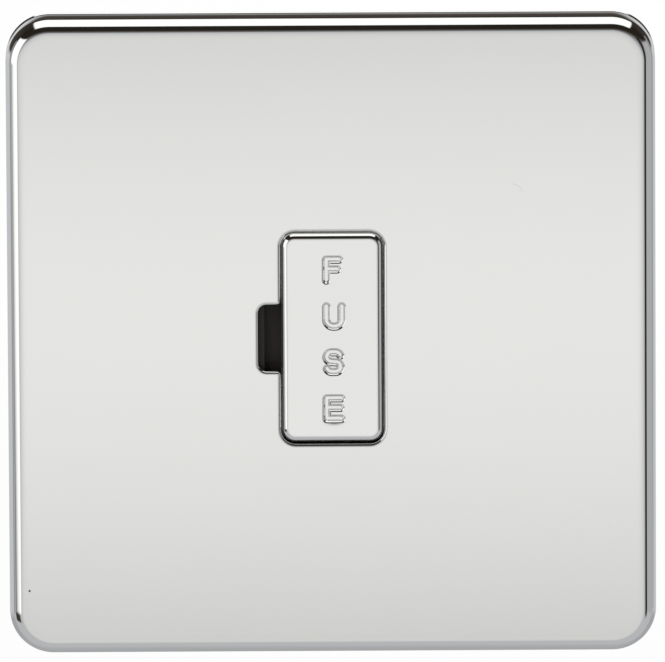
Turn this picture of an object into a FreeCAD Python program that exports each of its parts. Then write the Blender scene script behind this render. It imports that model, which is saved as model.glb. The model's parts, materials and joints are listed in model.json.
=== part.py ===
import FreeCAD, Part
import math
import os
from types import SimpleNamespace

import Sketcher

# A fused spur unit in a flush wall box, in millimetres.
# X runs to the right and Z runs up as the plate is seen, Y runs into the wall.
# The origin is the middle of the plate on the surface of the wall.

# Driving sizes.
SIZES = {
    # pressed front plate
    "plate_width": 88.0,
    "plate_height": 88.0,
    "plate_depth": 6.0,
    "plate_sheet": 0.9,
    "plate_corner_radius": 6.0,
    "plate_shoulder_radius": 2.0,
    "window_gap": 0.1,
    "window_end_gap": 0.2,
    "window_corner_radius": 1.75,
    "window_edge_radius": 0.45,
    "notch_reach": 3.2,
    "notch_height": 9.7,
    "notch_corner_radius": 1.1,
    "notch_mouth_radius": 0.6,
    # moulded liner behind the plate
    "liner_side_clearance": 0.15,
    "liner_wall": 1.4,
    "liner_web": 1.2,
    "liner_rear_gap": 0.4,
    "liner_edge_relief": 0.2,
    "liner_rib_offset": 20.0,
    "liner_rib_thickness": 1.2,
    "liner_rib_height": 1.2,
    "liner_rib_end_gap": 3.0,
    "collar_clearance": 0.3,
    # pressed steel yoke
    "yoke_sheet": 1.2,
    "yoke_bend_radius": 0.6,
    "yoke_lip_clearance": 0.3,
    "spring_room": 0.55,
    "yoke_opening_clearance": 0.25,
    "fixing_centres": 60.3,
    "fixing_slot_width": 4.2,
    "fixing_slot_length": 6.6,
    # chrome cap of the fuse carrier
    "cap_proud": 0.7,
    "cap_front": 1.0,
    "cap_skirt_wall": 0.8,
    "cap_skirt_depth": 2.7,
    "cap_corner_radius": 1.5,
    "cap_shoulder_radius": 1.05,
    # tray of the fuse carrier
    "tray_fit": 0.05,
    "tray_flange": 1.0,
    "tray_wall": 1.2,
    "tray_end_wall": 1.18,
    "tray_wall_inset": 0.55,
    "tray_side_room": 0.625,
    "tray_low_wall_height": 1.8,
    "tray_arm_width": 6.0,
    "tray_arm_tip": 0.4,
    "barb_bite": 0.45,
    "barb_length": 1.6,
    "barb_land": 0.5,
    "barb_stop_gap": 0.2,
    "carrier_travel": 13.0,
    "holder_offset": 3.2,
    "holder_thickness": 1.6,
    "holder_lip": 0.6,
    "holder_mouth": 5.0,
    "holder_clearance": 0.1,
    "pry_groove_width": 8.0,
    "pry_groove_depth": 0.7,
    # cartridge fuse
    "fuse_length": 25.4,
    "fuse_diameter": 6.35,
    "fuse_tube_diameter": 5.9,
    "fuse_cap_length": 5.5,
    "fuse_cap_end": 0.5,
    "fuse_cap_fit": 0.02,
    "fuse_cap_edge_radius": 0.3,
    "fuse_end_clearance": 0.2,
    "fuse_front_clearance": 0.825,
    # spring contacts and straps
    "contact_sheet": 0.7,
    "clip_gap": 0.1,
    "clip_flare": 0.6,
    "clip_base_gap": 0.825,
    "clip_inner_margin": 0.3,
    "clip_outer_margin": 0.7,
    "clip_reach": 1.5,
    "clip_lip": 1.5,
    "strap_corner_radius": 1.0,
    "link_waist": 1.2,
    "tray_strap_gap": 0.5,
    # moulded fuse housing
    "chamber_clearance": 0.15,
    "chamber_wall": 1.4,
    "seat_gap": 0.1,
    "seat_clearance": 0.2,
    "seat_corner_radius": 0.5,
    "seat_thickness": 1.2,
    "chamber_rear_room": 1.0,
    "collar_gap": 0.1,
    "flange_thickness": 2.0,
    "flange_clearance": 0.15,
    "ear_wall": 1.8,
    "pocket_margin": 0.3,
    "pocket_depth": 2.6,
    "ledge_width": 1.1,
    "ledge_depth": 0.6,
    "stop_gap": 0.05,
    "stop_width": 1.6,
    "groove_clearance": 0.25,
    "slot_clearance": 0.2,
    "strap_pad_length": 4.0,
    # terminals
    "terminal_pitch": 15.0,
    "terminal_gap": 0.52,
    "block_width": 7.0,
    "block_length": 7.0,
    "block_front_wall": 2.0,
    "block_thread_wall": 2.4,
    "wire_bore_radius": 2.2,
    "thread_radius": 1.95,
    "thread_clearance": 0.15,
    "screw_tip_gap": 0.2,
    "screw_tip_chamfer": 0.5,
    "clamped_wire": 1.0,
    "screw_head_room": 1.4,
    "screw_head_radius": 3.0,
    "screw_head_height": 1.8,
    "screw_head_edge": 0.4,
    "screw_head_recess": 1.7,
    "screw_slot_width": 1.0,
    "screw_slot_depth": 0.9,
    "spigot_radius": 1.5,
    "spigot_clearance": 0.05,
    "spigot_head_radius": 2.3,
    "spigot_head_height": 0.5,
    # moulded rear housing
    "housing_wall": 1.8,
    "housing_rear_wall": 2.0,
    "housing_end_room": 0.5,
    "housing_side_room": 4.7,
    "housing_corner_radius": 3.0,
    "housing_edge_radius": 1.2,
    "well_clearance": 0.4,
    "well_wall": 1.2,
    "wire_entry_radius": 2.8,
    "post_radius": 2.4,
    "pedestal_width": 4.0,
    "pedestal_length": 3.6,
    "nest_rib_thickness": 1.4,
    "nest_clearance": 0.1,
    # screws that hold the housings to the yoke
    "case_screw_radius": 1.3,
    "case_screw_length": 11.0,
    "case_screw_hole_clearance": 0.2,
    "case_screw_thread_clearance": 0.05,
    "case_screw_head_radius": 2.3,
    "case_screw_head_height": 1.5,
    "case_screw_slot_width": 0.7,
    "case_screw_slot_depth": 0.7,
    # springs between yoke and plate
    "spring_sheet": 0.3,
    "spring_length": 18.0,
    "spring_foot": 3.0,
    "spring_crown": 6.0,
    "spring_bow": 0.2,
    "spring_edge_room": 0.3,
    "rivet_radius": 0.45,
    "rivet_clearance": 0.05,
    "rivet_head_radius": 0.7,
    "rivet_head_height": 0.4,
    "earth_spring_sheet": 0.4,
    "earth_spring_width": 5.0,
    "earth_spring_edge_room": 3.8,
    "earth_spring_foot": 5.0,
    "earth_spring_rise": 4.0,
    "earth_spring_tip": 2.0,
    "earth_spring_gap": 0.05,
    "earth_spring_window": 1.2,
}


class Size:
    """A length with its number and the sheet expression that it is worked out from."""

    def __init__(self, number, text):
        self.number = number
        self.text = text

    def joined(self, sign, other, number):
        return Size(number, f"({self.text} {sign} {other.text})")

    def __add__(self, other):
        other = as_size(other)
        return self.joined("+", other, self.number + other.number)

    def __sub__(self, other):
        other = as_size(other)
        return self.joined("-", other, self.number - other.number)

    def __mul__(self, factor):
        factor = as_size(factor)
        return self.joined("*", factor, self.number * factor.number)

    def __truediv__(self, factor):
        factor = as_size(factor)
        return self.joined("/", factor, self.number / factor.number)

    def __neg__(self):
        return self * -1

    def __radd__(self, other):
        return as_size(other) + self

    def __rsub__(self, other):
        return as_size(other) - self

    def __rmul__(self, factor):
        return self * factor


def as_size(item):
    if isinstance(item, Size):
        return item
    return Size(float(item), f"({float(item)!r})")


doc = FreeCAD.newDocument("FusedSpurUnit")
sheet = doc.addObject("Spreadsheet::Sheet", "Sizes")
for row, (alias, number) in enumerate(SIZES.items(), start=1):
    sheet.set(f"A{row}", alias.replace("_", " "))
    sheet.set(f"B{row}", str(number))
    sheet.setAlias(f"B{row}", alias)
doc.recompute()
s = SimpleNamespace(**{alias: Size(number, "Sizes." + alias) for alias, number in SIZES.items()})
ZERO = as_size(0)


# Outlines in a sketch's own two directions.


def corners(*points):
    """A closed outline of level and upright sides, with a radius (or none) at each corner."""
    return "corners", [(as_size(u), as_size(v), r) for u, v, r in points]


def box(left, right, low, high, radius=None):
    return corners((left, low, radius), (right, low, radius), (right, high, radius), (left, high, radius))


def centred_box(half_width, half_height, radius=None):
    return box(-half_width, half_width, -half_height, half_height, radius)


def polygon(*points):
    return "polygon", [(as_size(u), as_size(v)) for u, v in points]


def circle(u, v, radius):
    return "circle", (as_size(u), as_size(v), as_size(radius))


def slot(u, v, length, width):
    """A level slot with round ends, by its middle and overall length."""
    return "slot", (as_size(u), as_size(v), length, width)


class Drawing:
    """Collects the geometry and the named constraints of one sketch."""

    def __init__(self, sketch):
        self.sketch = sketch
        self.shapes = []
        self.rules = []
        self.driven = []

    def add(self, shape):
        self.shapes.append(shape)
        return len(self.shapes) - 1

    def rule(self, *parts):
        self.rules.append(Sketcher.Constraint(*parts))

    def drive(self, size, *parts):
        self.driven.append((len(self.rules), size))
        self.rules.append(Sketcher.Constraint(*parts, size.number))

    def place(self, u, v, item, point):
        self.drive(u, "DistanceX", -1, 1, item, point)
        self.drive(v, "DistanceY", -1, 1, item, point)

    def finish(self):
        self.sketch.addGeometry(self.shapes, False)
        self.sketch.addConstraint(self.rules)
        for index, size in self.driven:
            self.sketch.setExpression(f"Constraints[{index}]", size.text)

    def corners(self, points):
        count = len(points)
        spots = [FreeCAD.Vector(u.number, v.number, 0) for u, v, _ in points]
        ways = [(spots[(i + 1) % count] - spots[i]).normalize() for i in range(count)]
        reach = [0.0 if r is None else r.number for _, _, r in points]
        sides = []
        for i in range(count):
            after = (i + 1) % count
            start = spots[i] + ways[i] * reach[i]
            end = spots[after] - ways[i] * reach[after]
            side = self.add(Part.LineSegment(start, end))
            sides.append(side)
            if abs(ways[i].y) < 0.5:
                self.rule("Horizontal", side)
                self.drive(points[i][1], "DistanceY", -1, 1, side, 1)
            else:
                self.rule("Vertical", side)
                self.drive(points[i][0], "DistanceX", -1, 1, side, 1)
        for i in range(count):
            before = sides[i - 1]
            if reach[i] == 0.0:
                self.rule("Coincident", before, 2, sides[i], 1)
                continue
            start = spots[i] - ways[i - 1] * reach[i]
            end = spots[i] + ways[i] * reach[i]
            middle = start + end - spots[i]
            left_turn = ways[i - 1].cross(ways[i]).z > 0
            first, last = (start, end) if left_turn else (end, start)
            angles = [math.atan2(p.y - middle.y, p.x - middle.x) for p in (first, last)]
            ring = Part.Circle(middle, FreeCAD.Vector(0, 0, 1), reach[i])
            arc = self.add(Part.ArcOfCircle(ring, *angles))
            self.rule("Tangent", before, 2, arc, 1 if left_turn else 2)
            self.rule("Tangent", sides[i], 1, arc, 2 if left_turn else 1)
            self.drive(points[i][2], "Radius", arc)

    def polygon(self, points):
        count = len(points)
        spots = [FreeCAD.Vector(u.number, v.number, 0) for u, v in points]
        sides = [self.add(Part.LineSegment(spots[i], spots[(i + 1) % count])) for i in range(count)]
        for i in range(count):
            self.rule("Coincident", sides[i - 1], 2, sides[i], 1)
            self.place(*points[i], sides[i], 1)

    def circle(self, data):
        u, v, radius = data
        middle = FreeCAD.Vector(u.number, v.number, 0)
        ring = self.add(Part.Circle(middle, FreeCAD.Vector(0, 0, 1), radius.number))
        self.place(u, v, ring, 3)
        self.drive(radius, "Radius", ring)

    def slot(self, data):
        u, v, length, width = data
        radius = width / 2
        run = (length - width) / 2
        up = FreeCAD.Vector(0, radius.number, 0)
        normal = FreeCAD.Vector(0, 0, 1)
        left = FreeCAD.Vector(u.number - run.number, v.number, 0)
        right = FreeCAD.Vector(u.number + run.number, v.number, 0)
        low = self.add(Part.LineSegment(left - up, right - up))
        high = self.add(Part.LineSegment(right + up, left + up))
        right_ring = Part.Circle(right, normal, radius.number)
        left_ring = Part.Circle(left, normal, radius.number)
        right_arc = self.add(Part.ArcOfCircle(right_ring, -math.pi / 2, math.pi / 2))
        left_arc = self.add(Part.ArcOfCircle(left_ring, math.pi / 2, 3 * math.pi / 2))
        self.rule("Horizontal", low)
        self.rule("Horizontal", high)
        self.rule("Tangent", low, 2, right_arc, 1)
        self.rule("Tangent", right_arc, 2, high, 1)
        self.rule("Tangent", high, 2, left_arc, 1)
        self.rule("Tangent", left_arc, 2, low, 1)
        self.place(u - run, v, left_arc, 3)
        self.drive(u + run, "DistanceX", -1, 1, right_arc, 3)
        self.drive(radius, "Radius", right_arc)


# Features of a body. Each axis has a sketch plane, and the way that plane's normal points along it.
PLANES = {"x": ("YZ_Plane", 1), "y": ("XZ_Plane", -1), "z": ("XY_Plane", 1)}
bodies = []


def new_body(label, x=ZERO, z=ZERO):
    body = doc.addObject("PartDesign::Body", label)
    body.Label = label
    body.setExpression("Placement.Base.x", as_size(x).text)
    body.setExpression("Placement.Base.z", as_size(z).text)
    bodies.append(body)
    return body


def draw(body, axis, place, outlines):
    """A sketch square to an axis of the body, at a place along it."""
    role, way = PLANES[axis]
    sketch = body.newObject("Sketcher::SketchObject", f"{body.Name}_outline")
    plane = next(item for item in body.Origin.OriginFeatures if item.Role == role)
    sketch.AttachmentSupport = [(plane, "")]
    sketch.MapMode = "FlatFace"
    sketch.setExpression("AttachmentOffset.Base.z", (as_size(place) * way).text)
    drawing = Drawing(sketch)
    for kind, data in outlines:
        getattr(drawing, kind)(data)
    drawing.finish()
    return sketch


def pad(body, axis, low, high, *outlines):
    """Material between two places along an axis."""
    way = PLANES[axis][1]
    sketch = draw(body, axis, low if way > 0 else high, outlines)
    feature = body.newObject("PartDesign::Pad", f"{body.Name}_pad")
    feature.Profile = sketch
    feature.setExpression("Length", (as_size(high) - low).text)
    return feature


def pocket(body, axis, low, high, *outlines):
    """A cut between two places along an axis."""
    way = PLANES[axis][1]
    sketch = draw(body, axis, high if way > 0 else low, outlines)
    feature = body.newObject("PartDesign::Pocket", f"{body.Name}_pocket")
    feature.Profile = sketch
    feature.setExpression("Length", (as_size(high) - low).text)
    return feature


def round_edges(body, radius, wanted):
    """A fillet on the edges that the test picks."""
    doc.recompute()
    base = body.Tip
    names = [f"Edge{i}" for i, edge in enumerate(base.Shape.Edges, start=1) if wanted(edge)]
    fillet = body.newObject("PartDesign::Fillet", f"{body.Name}_round")
    fillet.Base = (base, names)
    fillet.setExpression("Radius", radius.text)
    return fillet


NEAR = 1e-4


def in_plane(axis, place):
    """Picks the edges that lie in the plane at a place along an axis."""

    def wanted(edge):
        limits = edge.BoundBox
        low = getattr(limits, axis.upper() + "Min")
        high = getattr(limits, axis.upper() + "Max")
        return abs(low - place.number) < NEAR and abs(high - place.number) < NEAR

    return wanted


# Places along Y, from the front of the cap to the rear of the unit.
plate_front = -s.plate_depth
plate_back = plate_front + s.plate_sheet
liner_web_back = plate_back + s.liner_web
liner_rear = -s.liner_rear_gap
wall_plane = ZERO
yoke_front = -s.yoke_sheet
yoke_lip_front = liner_web_back + s.yoke_lip_clearance
collar_front = plate_back + s.collar_gap
cap_face = plate_front - s.cap_proud
tray_front = cap_face + s.cap_front
skirt_rear = cap_face + s.cap_skirt_depth
tray_flange_rear = skirt_rear + s.tray_flange
seat_front = tray_flange_rear + s.seat_gap
seat_rear = seat_front + s.seat_thickness
fuse_radius = s.fuse_diameter / 2
fuse_y = tray_flange_rear + s.fuse_front_clearance + fuse_radius
strap_front = fuse_y + fuse_radius + s.clip_base_gap
strap_rear = strap_front + s.contact_sheet
tray_wall_rear = strap_front - s.tray_strap_gap
stop_front = tray_wall_rear + s.stop_gap
barb_front = wall_plane + s.carrier_travel + s.barb_stop_gap
barb_rear = barb_front + s.barb_length
arm_rear = barb_rear + s.tray_arm_tip
chamber_rear = arm_rear + s.chamber_rear_room
block_front = strap_rear
bore_y = block_front + s.block_front_wall + s.wire_bore_radius
block_rear = bore_y + s.wire_bore_radius + s.block_thread_wall
screw_tip = bore_y + s.wire_bore_radius + s.screw_tip_gap
screw_travel = 2 * s.wire_bore_radius + s.screw_tip_gap - s.clamped_wire
head_front = block_rear + screw_travel + s.screw_head_room
head_rear = head_front + s.screw_head_height
housing_rear = head_rear + s.screw_head_recess
housing_floor = housing_rear - s.housing_rear_wall

# Half widths and half heights, from the fuse outwards.
fuse_half = s.fuse_length / 2
tube_radius = s.fuse_tube_diameter / 2
clip_inner = fuse_radius + s.clip_gap
clip_outer = clip_inner + s.contact_sheet
tray_inner_x = clip_outer + s.clip_flare + s.tray_side_room
tray_outer_x = tray_inner_x + s.tray_wall
tray_inner_z = fuse_half + s.fuse_end_clearance
tray_outer_z = tray_inner_z + s.tray_end_wall
cap_x = tray_outer_x + s.tray_wall_inset
cap_z = tray_outer_z + s.tray_wall_inset
window_x = cap_x + s.window_gap
window_z = cap_z + s.window_end_gap
chamber_in_x = cap_x + s.chamber_clearance
chamber_in_z = cap_z + s.chamber_clearance
chamber_out_x = chamber_in_x + s.chamber_wall
chamber_out_z = chamber_in_z + s.chamber_wall
notch_left = -window_x - s.notch_reach
notch_half = s.notch_height / 2
ear_left = notch_left - s.ear_wall
ear_half = notch_half + s.ear_wall
barb_z = chamber_in_z + s.barb_bite
clip_low = fuse_half - s.fuse_cap_length + s.clip_inner_margin
clip_high = fuse_half - s.clip_outer_margin
block_in_z = chamber_out_z + s.terminal_gap
block_out_z = block_in_z + s.block_length
terminal_z = (block_in_z + block_out_z) / 2
block_half_x = s.block_width / 2
block_half_z = s.block_length / 2
link_left = s.terminal_pitch - block_half_x
link_right = s.terminal_pitch + block_half_x
housing_in_x = link_right + s.housing_side_room
housing_in_z = block_out_z + s.housing_end_room
housing_out_x = housing_in_x + s.housing_wall
housing_out_z = housing_in_z + s.housing_wall
well_radius = s.screw_head_radius + s.well_clearance
plate_x = s.plate_width / 2
plate_z = s.plate_height / 2
liner_out_x = plate_x - s.plate_sheet - s.liner_side_clearance
liner_out_z = plate_z - s.plate_sheet - s.liner_side_clearance
liner_corner = s.plate_corner_radius - s.plate_sheet - s.liner_side_clearance
liner_in_x = liner_out_x - s.liner_wall
liner_in_z = liner_out_z - s.liner_wall
yoke_out_x = liner_in_x - s.spring_room
yoke_out_z = liner_in_z - s.spring_room
yoke_corner = liner_corner - s.liner_wall - s.spring_room
case_screw_x = s.terminal_pitch / 2
case_screw_spots = [(way * case_screw_x, up * terminal_z) for way in (-1, 1) for up in (-1, 1)]
terminal_columns = [-s.terminal_pitch, ZERO, s.terminal_pitch]

# The leaf springs stand on the outside of the yoke's turned-up edges.
spring_front = yoke_lip_front + s.spring_edge_room
spring_back = yoke_front - s.yoke_bend_radius
spring_y = (spring_front + spring_back) / 2
spring_foot_place = (s.spring_length - s.spring_foot) / 2
earth_spring_start = -yoke_out_z + s.yoke_sheet + s.earth_spring_edge_room
earth_spring_foot_end = earth_spring_start + s.earth_spring_foot
earth_spring_top = earth_spring_foot_end + s.earth_spring_rise
earth_spring_end = earth_spring_top + s.earth_spring_tip
earth_rivet_z = earth_spring_start + s.earth_spring_foot / 2


def collar_outline(gap):
    """The fuse housing's collar with its ear on the left, grown by a gap."""
    right = chamber_out_x + gap
    top = chamber_out_z + gap
    left = ear_left - gap
    ear = ear_half + gap
    radius = s.cap_corner_radius
    return corners(
        (-right, -top, radius),
        (right, -top, radius),
        (right, top, radius),
        (-right, top, radius),
        (-right, ear, None),
        (left, ear, None),
        (left, -ear, None),
        (-right, -ear, None),
    )


def make_front_plate():
    """Sheet pressed into a shallow lid, with the carrier's window and the pry notch cut through it."""
    body = new_body("front_plate")
    pad(body, "y", plate_front, wall_plane, centred_box(plate_x, plate_z, s.plate_corner_radius))
    round_edges(body, s.plate_shoulder_radius, in_plane("y", plate_front))
    inside_x = plate_x - s.plate_sheet
    inside_z = plate_z - s.plate_sheet
    inside = centred_box(inside_x, inside_z, s.plate_corner_radius - s.plate_sheet)
    pocket(body, "y", plate_back, wall_plane, inside)
    round_edges(body, s.plate_shoulder_radius - s.plate_sheet, in_plane("y", plate_back))
    corner = s.window_corner_radius
    outer = s.notch_corner_radius
    mouth = s.notch_mouth_radius
    window = corners(
        (-window_x, -window_z, corner),
        (window_x, -window_z, corner),
        (window_x, window_z, corner),
        (-window_x, window_z, corner),
        (-window_x, notch_half, mouth),
        (notch_left, notch_half, outer),
        (notch_left, -notch_half, outer),
        (-window_x, -notch_half, mouth),
    )
    pocket(body, "y", plate_front, plate_back, window)
    front = in_plane("y", plate_front)
    reach_x = plate_x.number - s.plate_shoulder_radius.number
    reach_z = plate_z.number - s.plate_shoulder_radius.number

    def window_edge(edge):
        spot = edge.BoundBox.Center
        return front(edge) and abs(spot.x) < reach_x / 2 and abs(spot.z) < reach_z / 2

    round_edges(body, s.window_edge_radius, window_edge)


def make_plate_liner():
    """Moulded inner frame that backs the thin plate and slides over the yoke."""
    body = new_body("plate_liner")
    pad(body, "y", plate_back, liner_rear, centred_box(liner_out_x, liner_out_z, liner_corner))
    edge = s.plate_shoulder_radius - s.plate_sheet + s.liner_edge_relief
    round_edges(body, edge, in_plane("y", plate_back))
    inside = centred_box(liner_in_x, liner_in_z, liner_corner - s.liner_wall)
    pocket(body, "y", liner_web_back, liner_rear, inside)
    rib = s.liner_rib_thickness / 2
    rib_z = liner_in_z - s.liner_rib_end_gap
    ribs = []
    for way in (-1, 1):
        middle = way * s.liner_rib_offset
        ribs.append(box(middle - rib, middle + rib, -rib_z, rib_z))
    pad(body, "y", liner_web_back, liner_web_back + s.liner_rib_height, *ribs)
    half = s.earth_spring_width / 2 + s.earth_spring_window
    low = earth_spring_foot_end - s.earth_spring_window
    high = earth_spring_end + s.earth_spring_window
    pocket(body, "y", plate_back, liner_web_back, collar_outline(s.collar_clearance))
    pocket(body, "y", plate_back, liner_web_back, box(-half, half, low, high))


def make_mounting_yoke():
    """Steel frame with turned-up edges, screwed to the wall box through its two slots."""
    body = new_body("mounting_yoke")
    pad(body, "y", yoke_lip_front, wall_plane, centred_box(yoke_out_x, yoke_out_z, yoke_corner))
    round_edges(body, s.yoke_bend_radius + s.yoke_sheet, in_plane("y", wall_plane))
    inside_x = yoke_out_x - s.yoke_sheet
    inside_z = yoke_out_z - s.yoke_sheet
    inside = centred_box(inside_x, inside_z, yoke_corner - s.yoke_sheet)
    pocket(body, "y", yoke_lip_front, yoke_front, inside)
    round_edges(body, s.yoke_bend_radius, in_plane("y", yoke_front))
    screw_hole = s.case_screw_radius + s.case_screw_hole_clearance
    spigot_hole = s.spigot_radius + s.spigot_clearance
    rivet_hole = s.rivet_radius + s.rivet_clearance
    holes = [collar_outline(s.yoke_opening_clearance)]
    for way in (-1, 1):
        holes.append(slot(way * s.fixing_centres / 2, 0, s.fixing_slot_length, s.fixing_slot_width))
        holes.append(circle(0, way * terminal_z, spigot_hole))
    for x, z in case_screw_spots:
        holes.append(circle(x, z, screw_hole))
    holes.append(circle(0, earth_rivet_z, rivet_hole))
    pocket(body, "y", yoke_front, wall_plane, *holes)
    spots = [circle(spring_y, way * spring_foot_place, rivet_hole) for way in (-1, 1)]
    pocket(body, "x", -yoke_out_x, yoke_out_x, *spots)
    spots = [circle(way * spring_foot_place, spring_y, rivet_hole) for way in (-1, 1)]
    pocket(body, "z", -yoke_out_z, yoke_out_z, *spots)


def make_fuse_housing():
    """Moulded chamber for the carrier, with its collar, seat, pry ear and the flange behind the yoke."""
    body = new_body("fuse_housing")
    flange_x = housing_in_x - s.flange_clearance
    flange_z = housing_in_z - s.flange_clearance
    flange_corner = s.housing_corner_radius - s.housing_wall
    pad(body, "y", wall_plane, s.flange_thickness, centred_box(flange_x, flange_z, flange_corner))
    outer_corner = s.cap_corner_radius + s.chamber_clearance + s.chamber_wall
    outside = centred_box(chamber_out_x, chamber_out_z, outer_corner)
    pad(body, "y", collar_front, chamber_rear, outside)
    ear_right = -chamber_out_x + s.chamber_wall / 2
    pad(body, "y", collar_front, s.flange_thickness, box(ear_left, ear_right, -ear_half, ear_half))
    pads = []
    half = s.strap_pad_length / 2
    for way in (-1, 1):
        for up in (-1, 1):
            x = way * s.terminal_pitch
            z = up * terminal_z
            pads.append(box(x - half, x + half, z - half, z + half))
    pad(body, "y", s.flange_thickness, strap_front, *pads)
    inside = centred_box(chamber_in_x, chamber_in_z, s.cap_corner_radius + s.chamber_clearance)
    seat_x = tray_outer_x + s.seat_clearance
    seat_z = tray_outer_z + s.seat_clearance
    pocket(body, "y", collar_front, seat_front, inside)
    pocket(body, "y", seat_front, seat_rear, centred_box(seat_x, seat_z, s.seat_corner_radius))
    pocket(body, "y", seat_rear, chamber_rear, inside)
    stops = []
    into_wall = s.chamber_wall / 2
    for way in (-1, 1):
        for up in (-1, 1):
            near_x = way * (chamber_in_x - s.stop_width)
            far_x = way * (chamber_in_x + into_wall)
            near_z = up * tray_inner_z
            far_z = up * (chamber_in_z + into_wall)
            stops.append(box(near_x, far_x, near_z, far_z))
    pad(body, "y", stop_front, chamber_rear, *stops)
    groove_x = s.tray_arm_width / 2 + s.slot_clearance
    groove_z = barb_z + s.groove_clearance
    grooves = []
    for up in (-1, 1):
        grooves.append(box(-groove_x, groove_x, up * tray_inner_z, up * groove_z))
    pocket(body, "y", wall_plane, chamber_rear, *grooves)
    slots = []
    for up in (-1, 1):
        low = up * (clip_low - s.slot_clearance)
        high = up * (clip_high + s.slot_clearance)
        slots.append(box(-chamber_out_x - s.slot_clearance, -chamber_in_x + s.slot_clearance, low, high))
    pocket(body, "y", strap_front - s.slot_clearance, chamber_rear, *slots)
    pocket_left = notch_left - s.pocket_margin
    pocket_half = notch_half + s.pocket_margin
    deep_left = notch_left + s.ledge_width
    mouth = -chamber_in_x + s.slot_clearance
    ledge = box(pocket_left, mouth, -pocket_half, pocket_half)
    deep = box(deep_left, mouth, -pocket_half, pocket_half)
    pocket(body, "y", collar_front, collar_front + s.ledge_depth, ledge)
    pocket(body, "y", collar_front, collar_front + s.pocket_depth, deep)
    holes = []
    pillar_x = block_half_x + s.slot_clearance
    screw_hole = s.case_screw_radius + s.case_screw_hole_clearance
    for up in (-1, 1):
        near_z = up * (block_in_z - s.slot_clearance)
        far_z = up * (flange_z + s.flange_thickness)
        holes.append(box(-pillar_x, pillar_x, near_z, far_z))
    for x, z in case_screw_spots:
        holes.append(circle(x, z, screw_hole))
    pocket(body, "y", wall_plane, s.flange_thickness, *holes)


def make_rear_housing():
    """Moulded box in the wall, with wells for the terminal screws and entries for the wires."""
    body = new_body("rear_housing")
    outside = centred_box(housing_out_x, housing_out_z, s.housing_corner_radius)
    pad(body, "y", wall_plane, housing_rear, outside)
    round_edges(body, s.housing_edge_radius, in_plane("y", housing_rear))
    inner_corner = s.housing_corner_radius - s.housing_wall
    pocket(body, "y", wall_plane, housing_floor, centred_box(housing_in_x, housing_in_z, inner_corner))
    towers = []
    wells = []
    for column in terminal_columns:
        for up in (-1, 1):
            towers.append(circle(column, up * terminal_z, well_radius + s.well_wall))
            wells.append(circle(column, up * terminal_z, well_radius))
    pad(body, "y", block_rear, housing_floor + s.housing_rear_wall / 2, *towers)
    relief = centred_box(chamber_out_x + s.chamber_clearance, chamber_out_z + s.chamber_clearance)
    pocket(body, "y", block_rear, chamber_rear + s.chamber_clearance, relief)
    posts = [circle(x, z, s.post_radius) for x, z in case_screw_spots]
    pad(body, "y", s.flange_thickness, housing_floor + s.housing_rear_wall / 2, *posts)
    pedestals = []
    half_x = s.pedestal_width / 2
    half_z = s.pedestal_length / 2
    for up in (-1, 1):
        middle = up * (clip_low + clip_high) / 2
        pedestals.append(box(-half_x, half_x, middle - half_z, middle + half_z))
    pad(body, "y", strap_rear, housing_floor + s.housing_rear_wall / 2, *pedestals)
    ribs = []
    half_rib = s.nest_rib_thickness / 2
    for way in (-1, 1):
        for up in (-1, 1):
            near = way * (link_right + s.nest_clearance)
            far = way * (housing_in_x + s.housing_wall / 2)
            middle = up * terminal_z
            ribs.append(box(near, far, middle - half_rib, middle + half_rib))
    pad(body, "y", strap_rear, housing_floor + s.housing_rear_wall / 2, *ribs)
    pocket(body, "y", block_rear, housing_rear, *wells)
    hole = s.case_screw_radius + s.case_screw_thread_clearance
    depth = yoke_front + s.case_screw_length + s.barb_stop_gap
    pocket(body, "y", s.flange_thickness, depth, *[circle(x, z, hole) for x, z in case_screw_spots])
    entries = [circle(column, bore_y, s.wire_entry_radius) for column in terminal_columns]
    pocket(body, "z", housing_in_z, housing_out_z, *entries)
    pocket(body, "z", -housing_out_z, -housing_in_z, *entries)


def make_housing_screws():
    """Four slotted screws that draw both housings up to the back of the yoke."""
    body = new_body("housing_screws")
    head_top = yoke_front - s.case_screw_head_height
    heads = [circle(x, z, s.case_screw_head_radius) for x, z in case_screw_spots]
    shanks = [circle(x, z, s.case_screw_radius) for x, z in case_screw_spots]
    pad(body, "y", head_top, yoke_front, *heads)
    round_edges(body, s.case_screw_head_height / 3, in_plane("y", head_top))
    pad(body, "y", yoke_front, yoke_front + s.case_screw_length, *shanks)
    half = s.case_screw_slot_width / 2
    reach = s.case_screw_head_radius
    slots = [box(x - reach, x + reach, z - half, z + half) for x, z in case_screw_spots]
    pocket(body, "y", head_top, head_top + s.case_screw_slot_depth, *slots)


def make_carrier_cap():
    """Plated cap that shows in the window, a shallow lid with softly rounded shoulders."""
    body = new_body("fuse_carrier_cap")
    pad(body, "y", cap_face, skirt_rear, centred_box(cap_x, cap_z, s.cap_corner_radius))
    round_edges(body, s.cap_shoulder_radius, in_plane("y", cap_face))
    inside_x = cap_x - s.cap_skirt_wall
    inside_z = cap_z - s.cap_skirt_wall
    inside = centred_box(inside_x, inside_z, s.cap_corner_radius - s.cap_skirt_wall)
    pocket(body, "y", tray_front, skirt_rear, inside)


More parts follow.
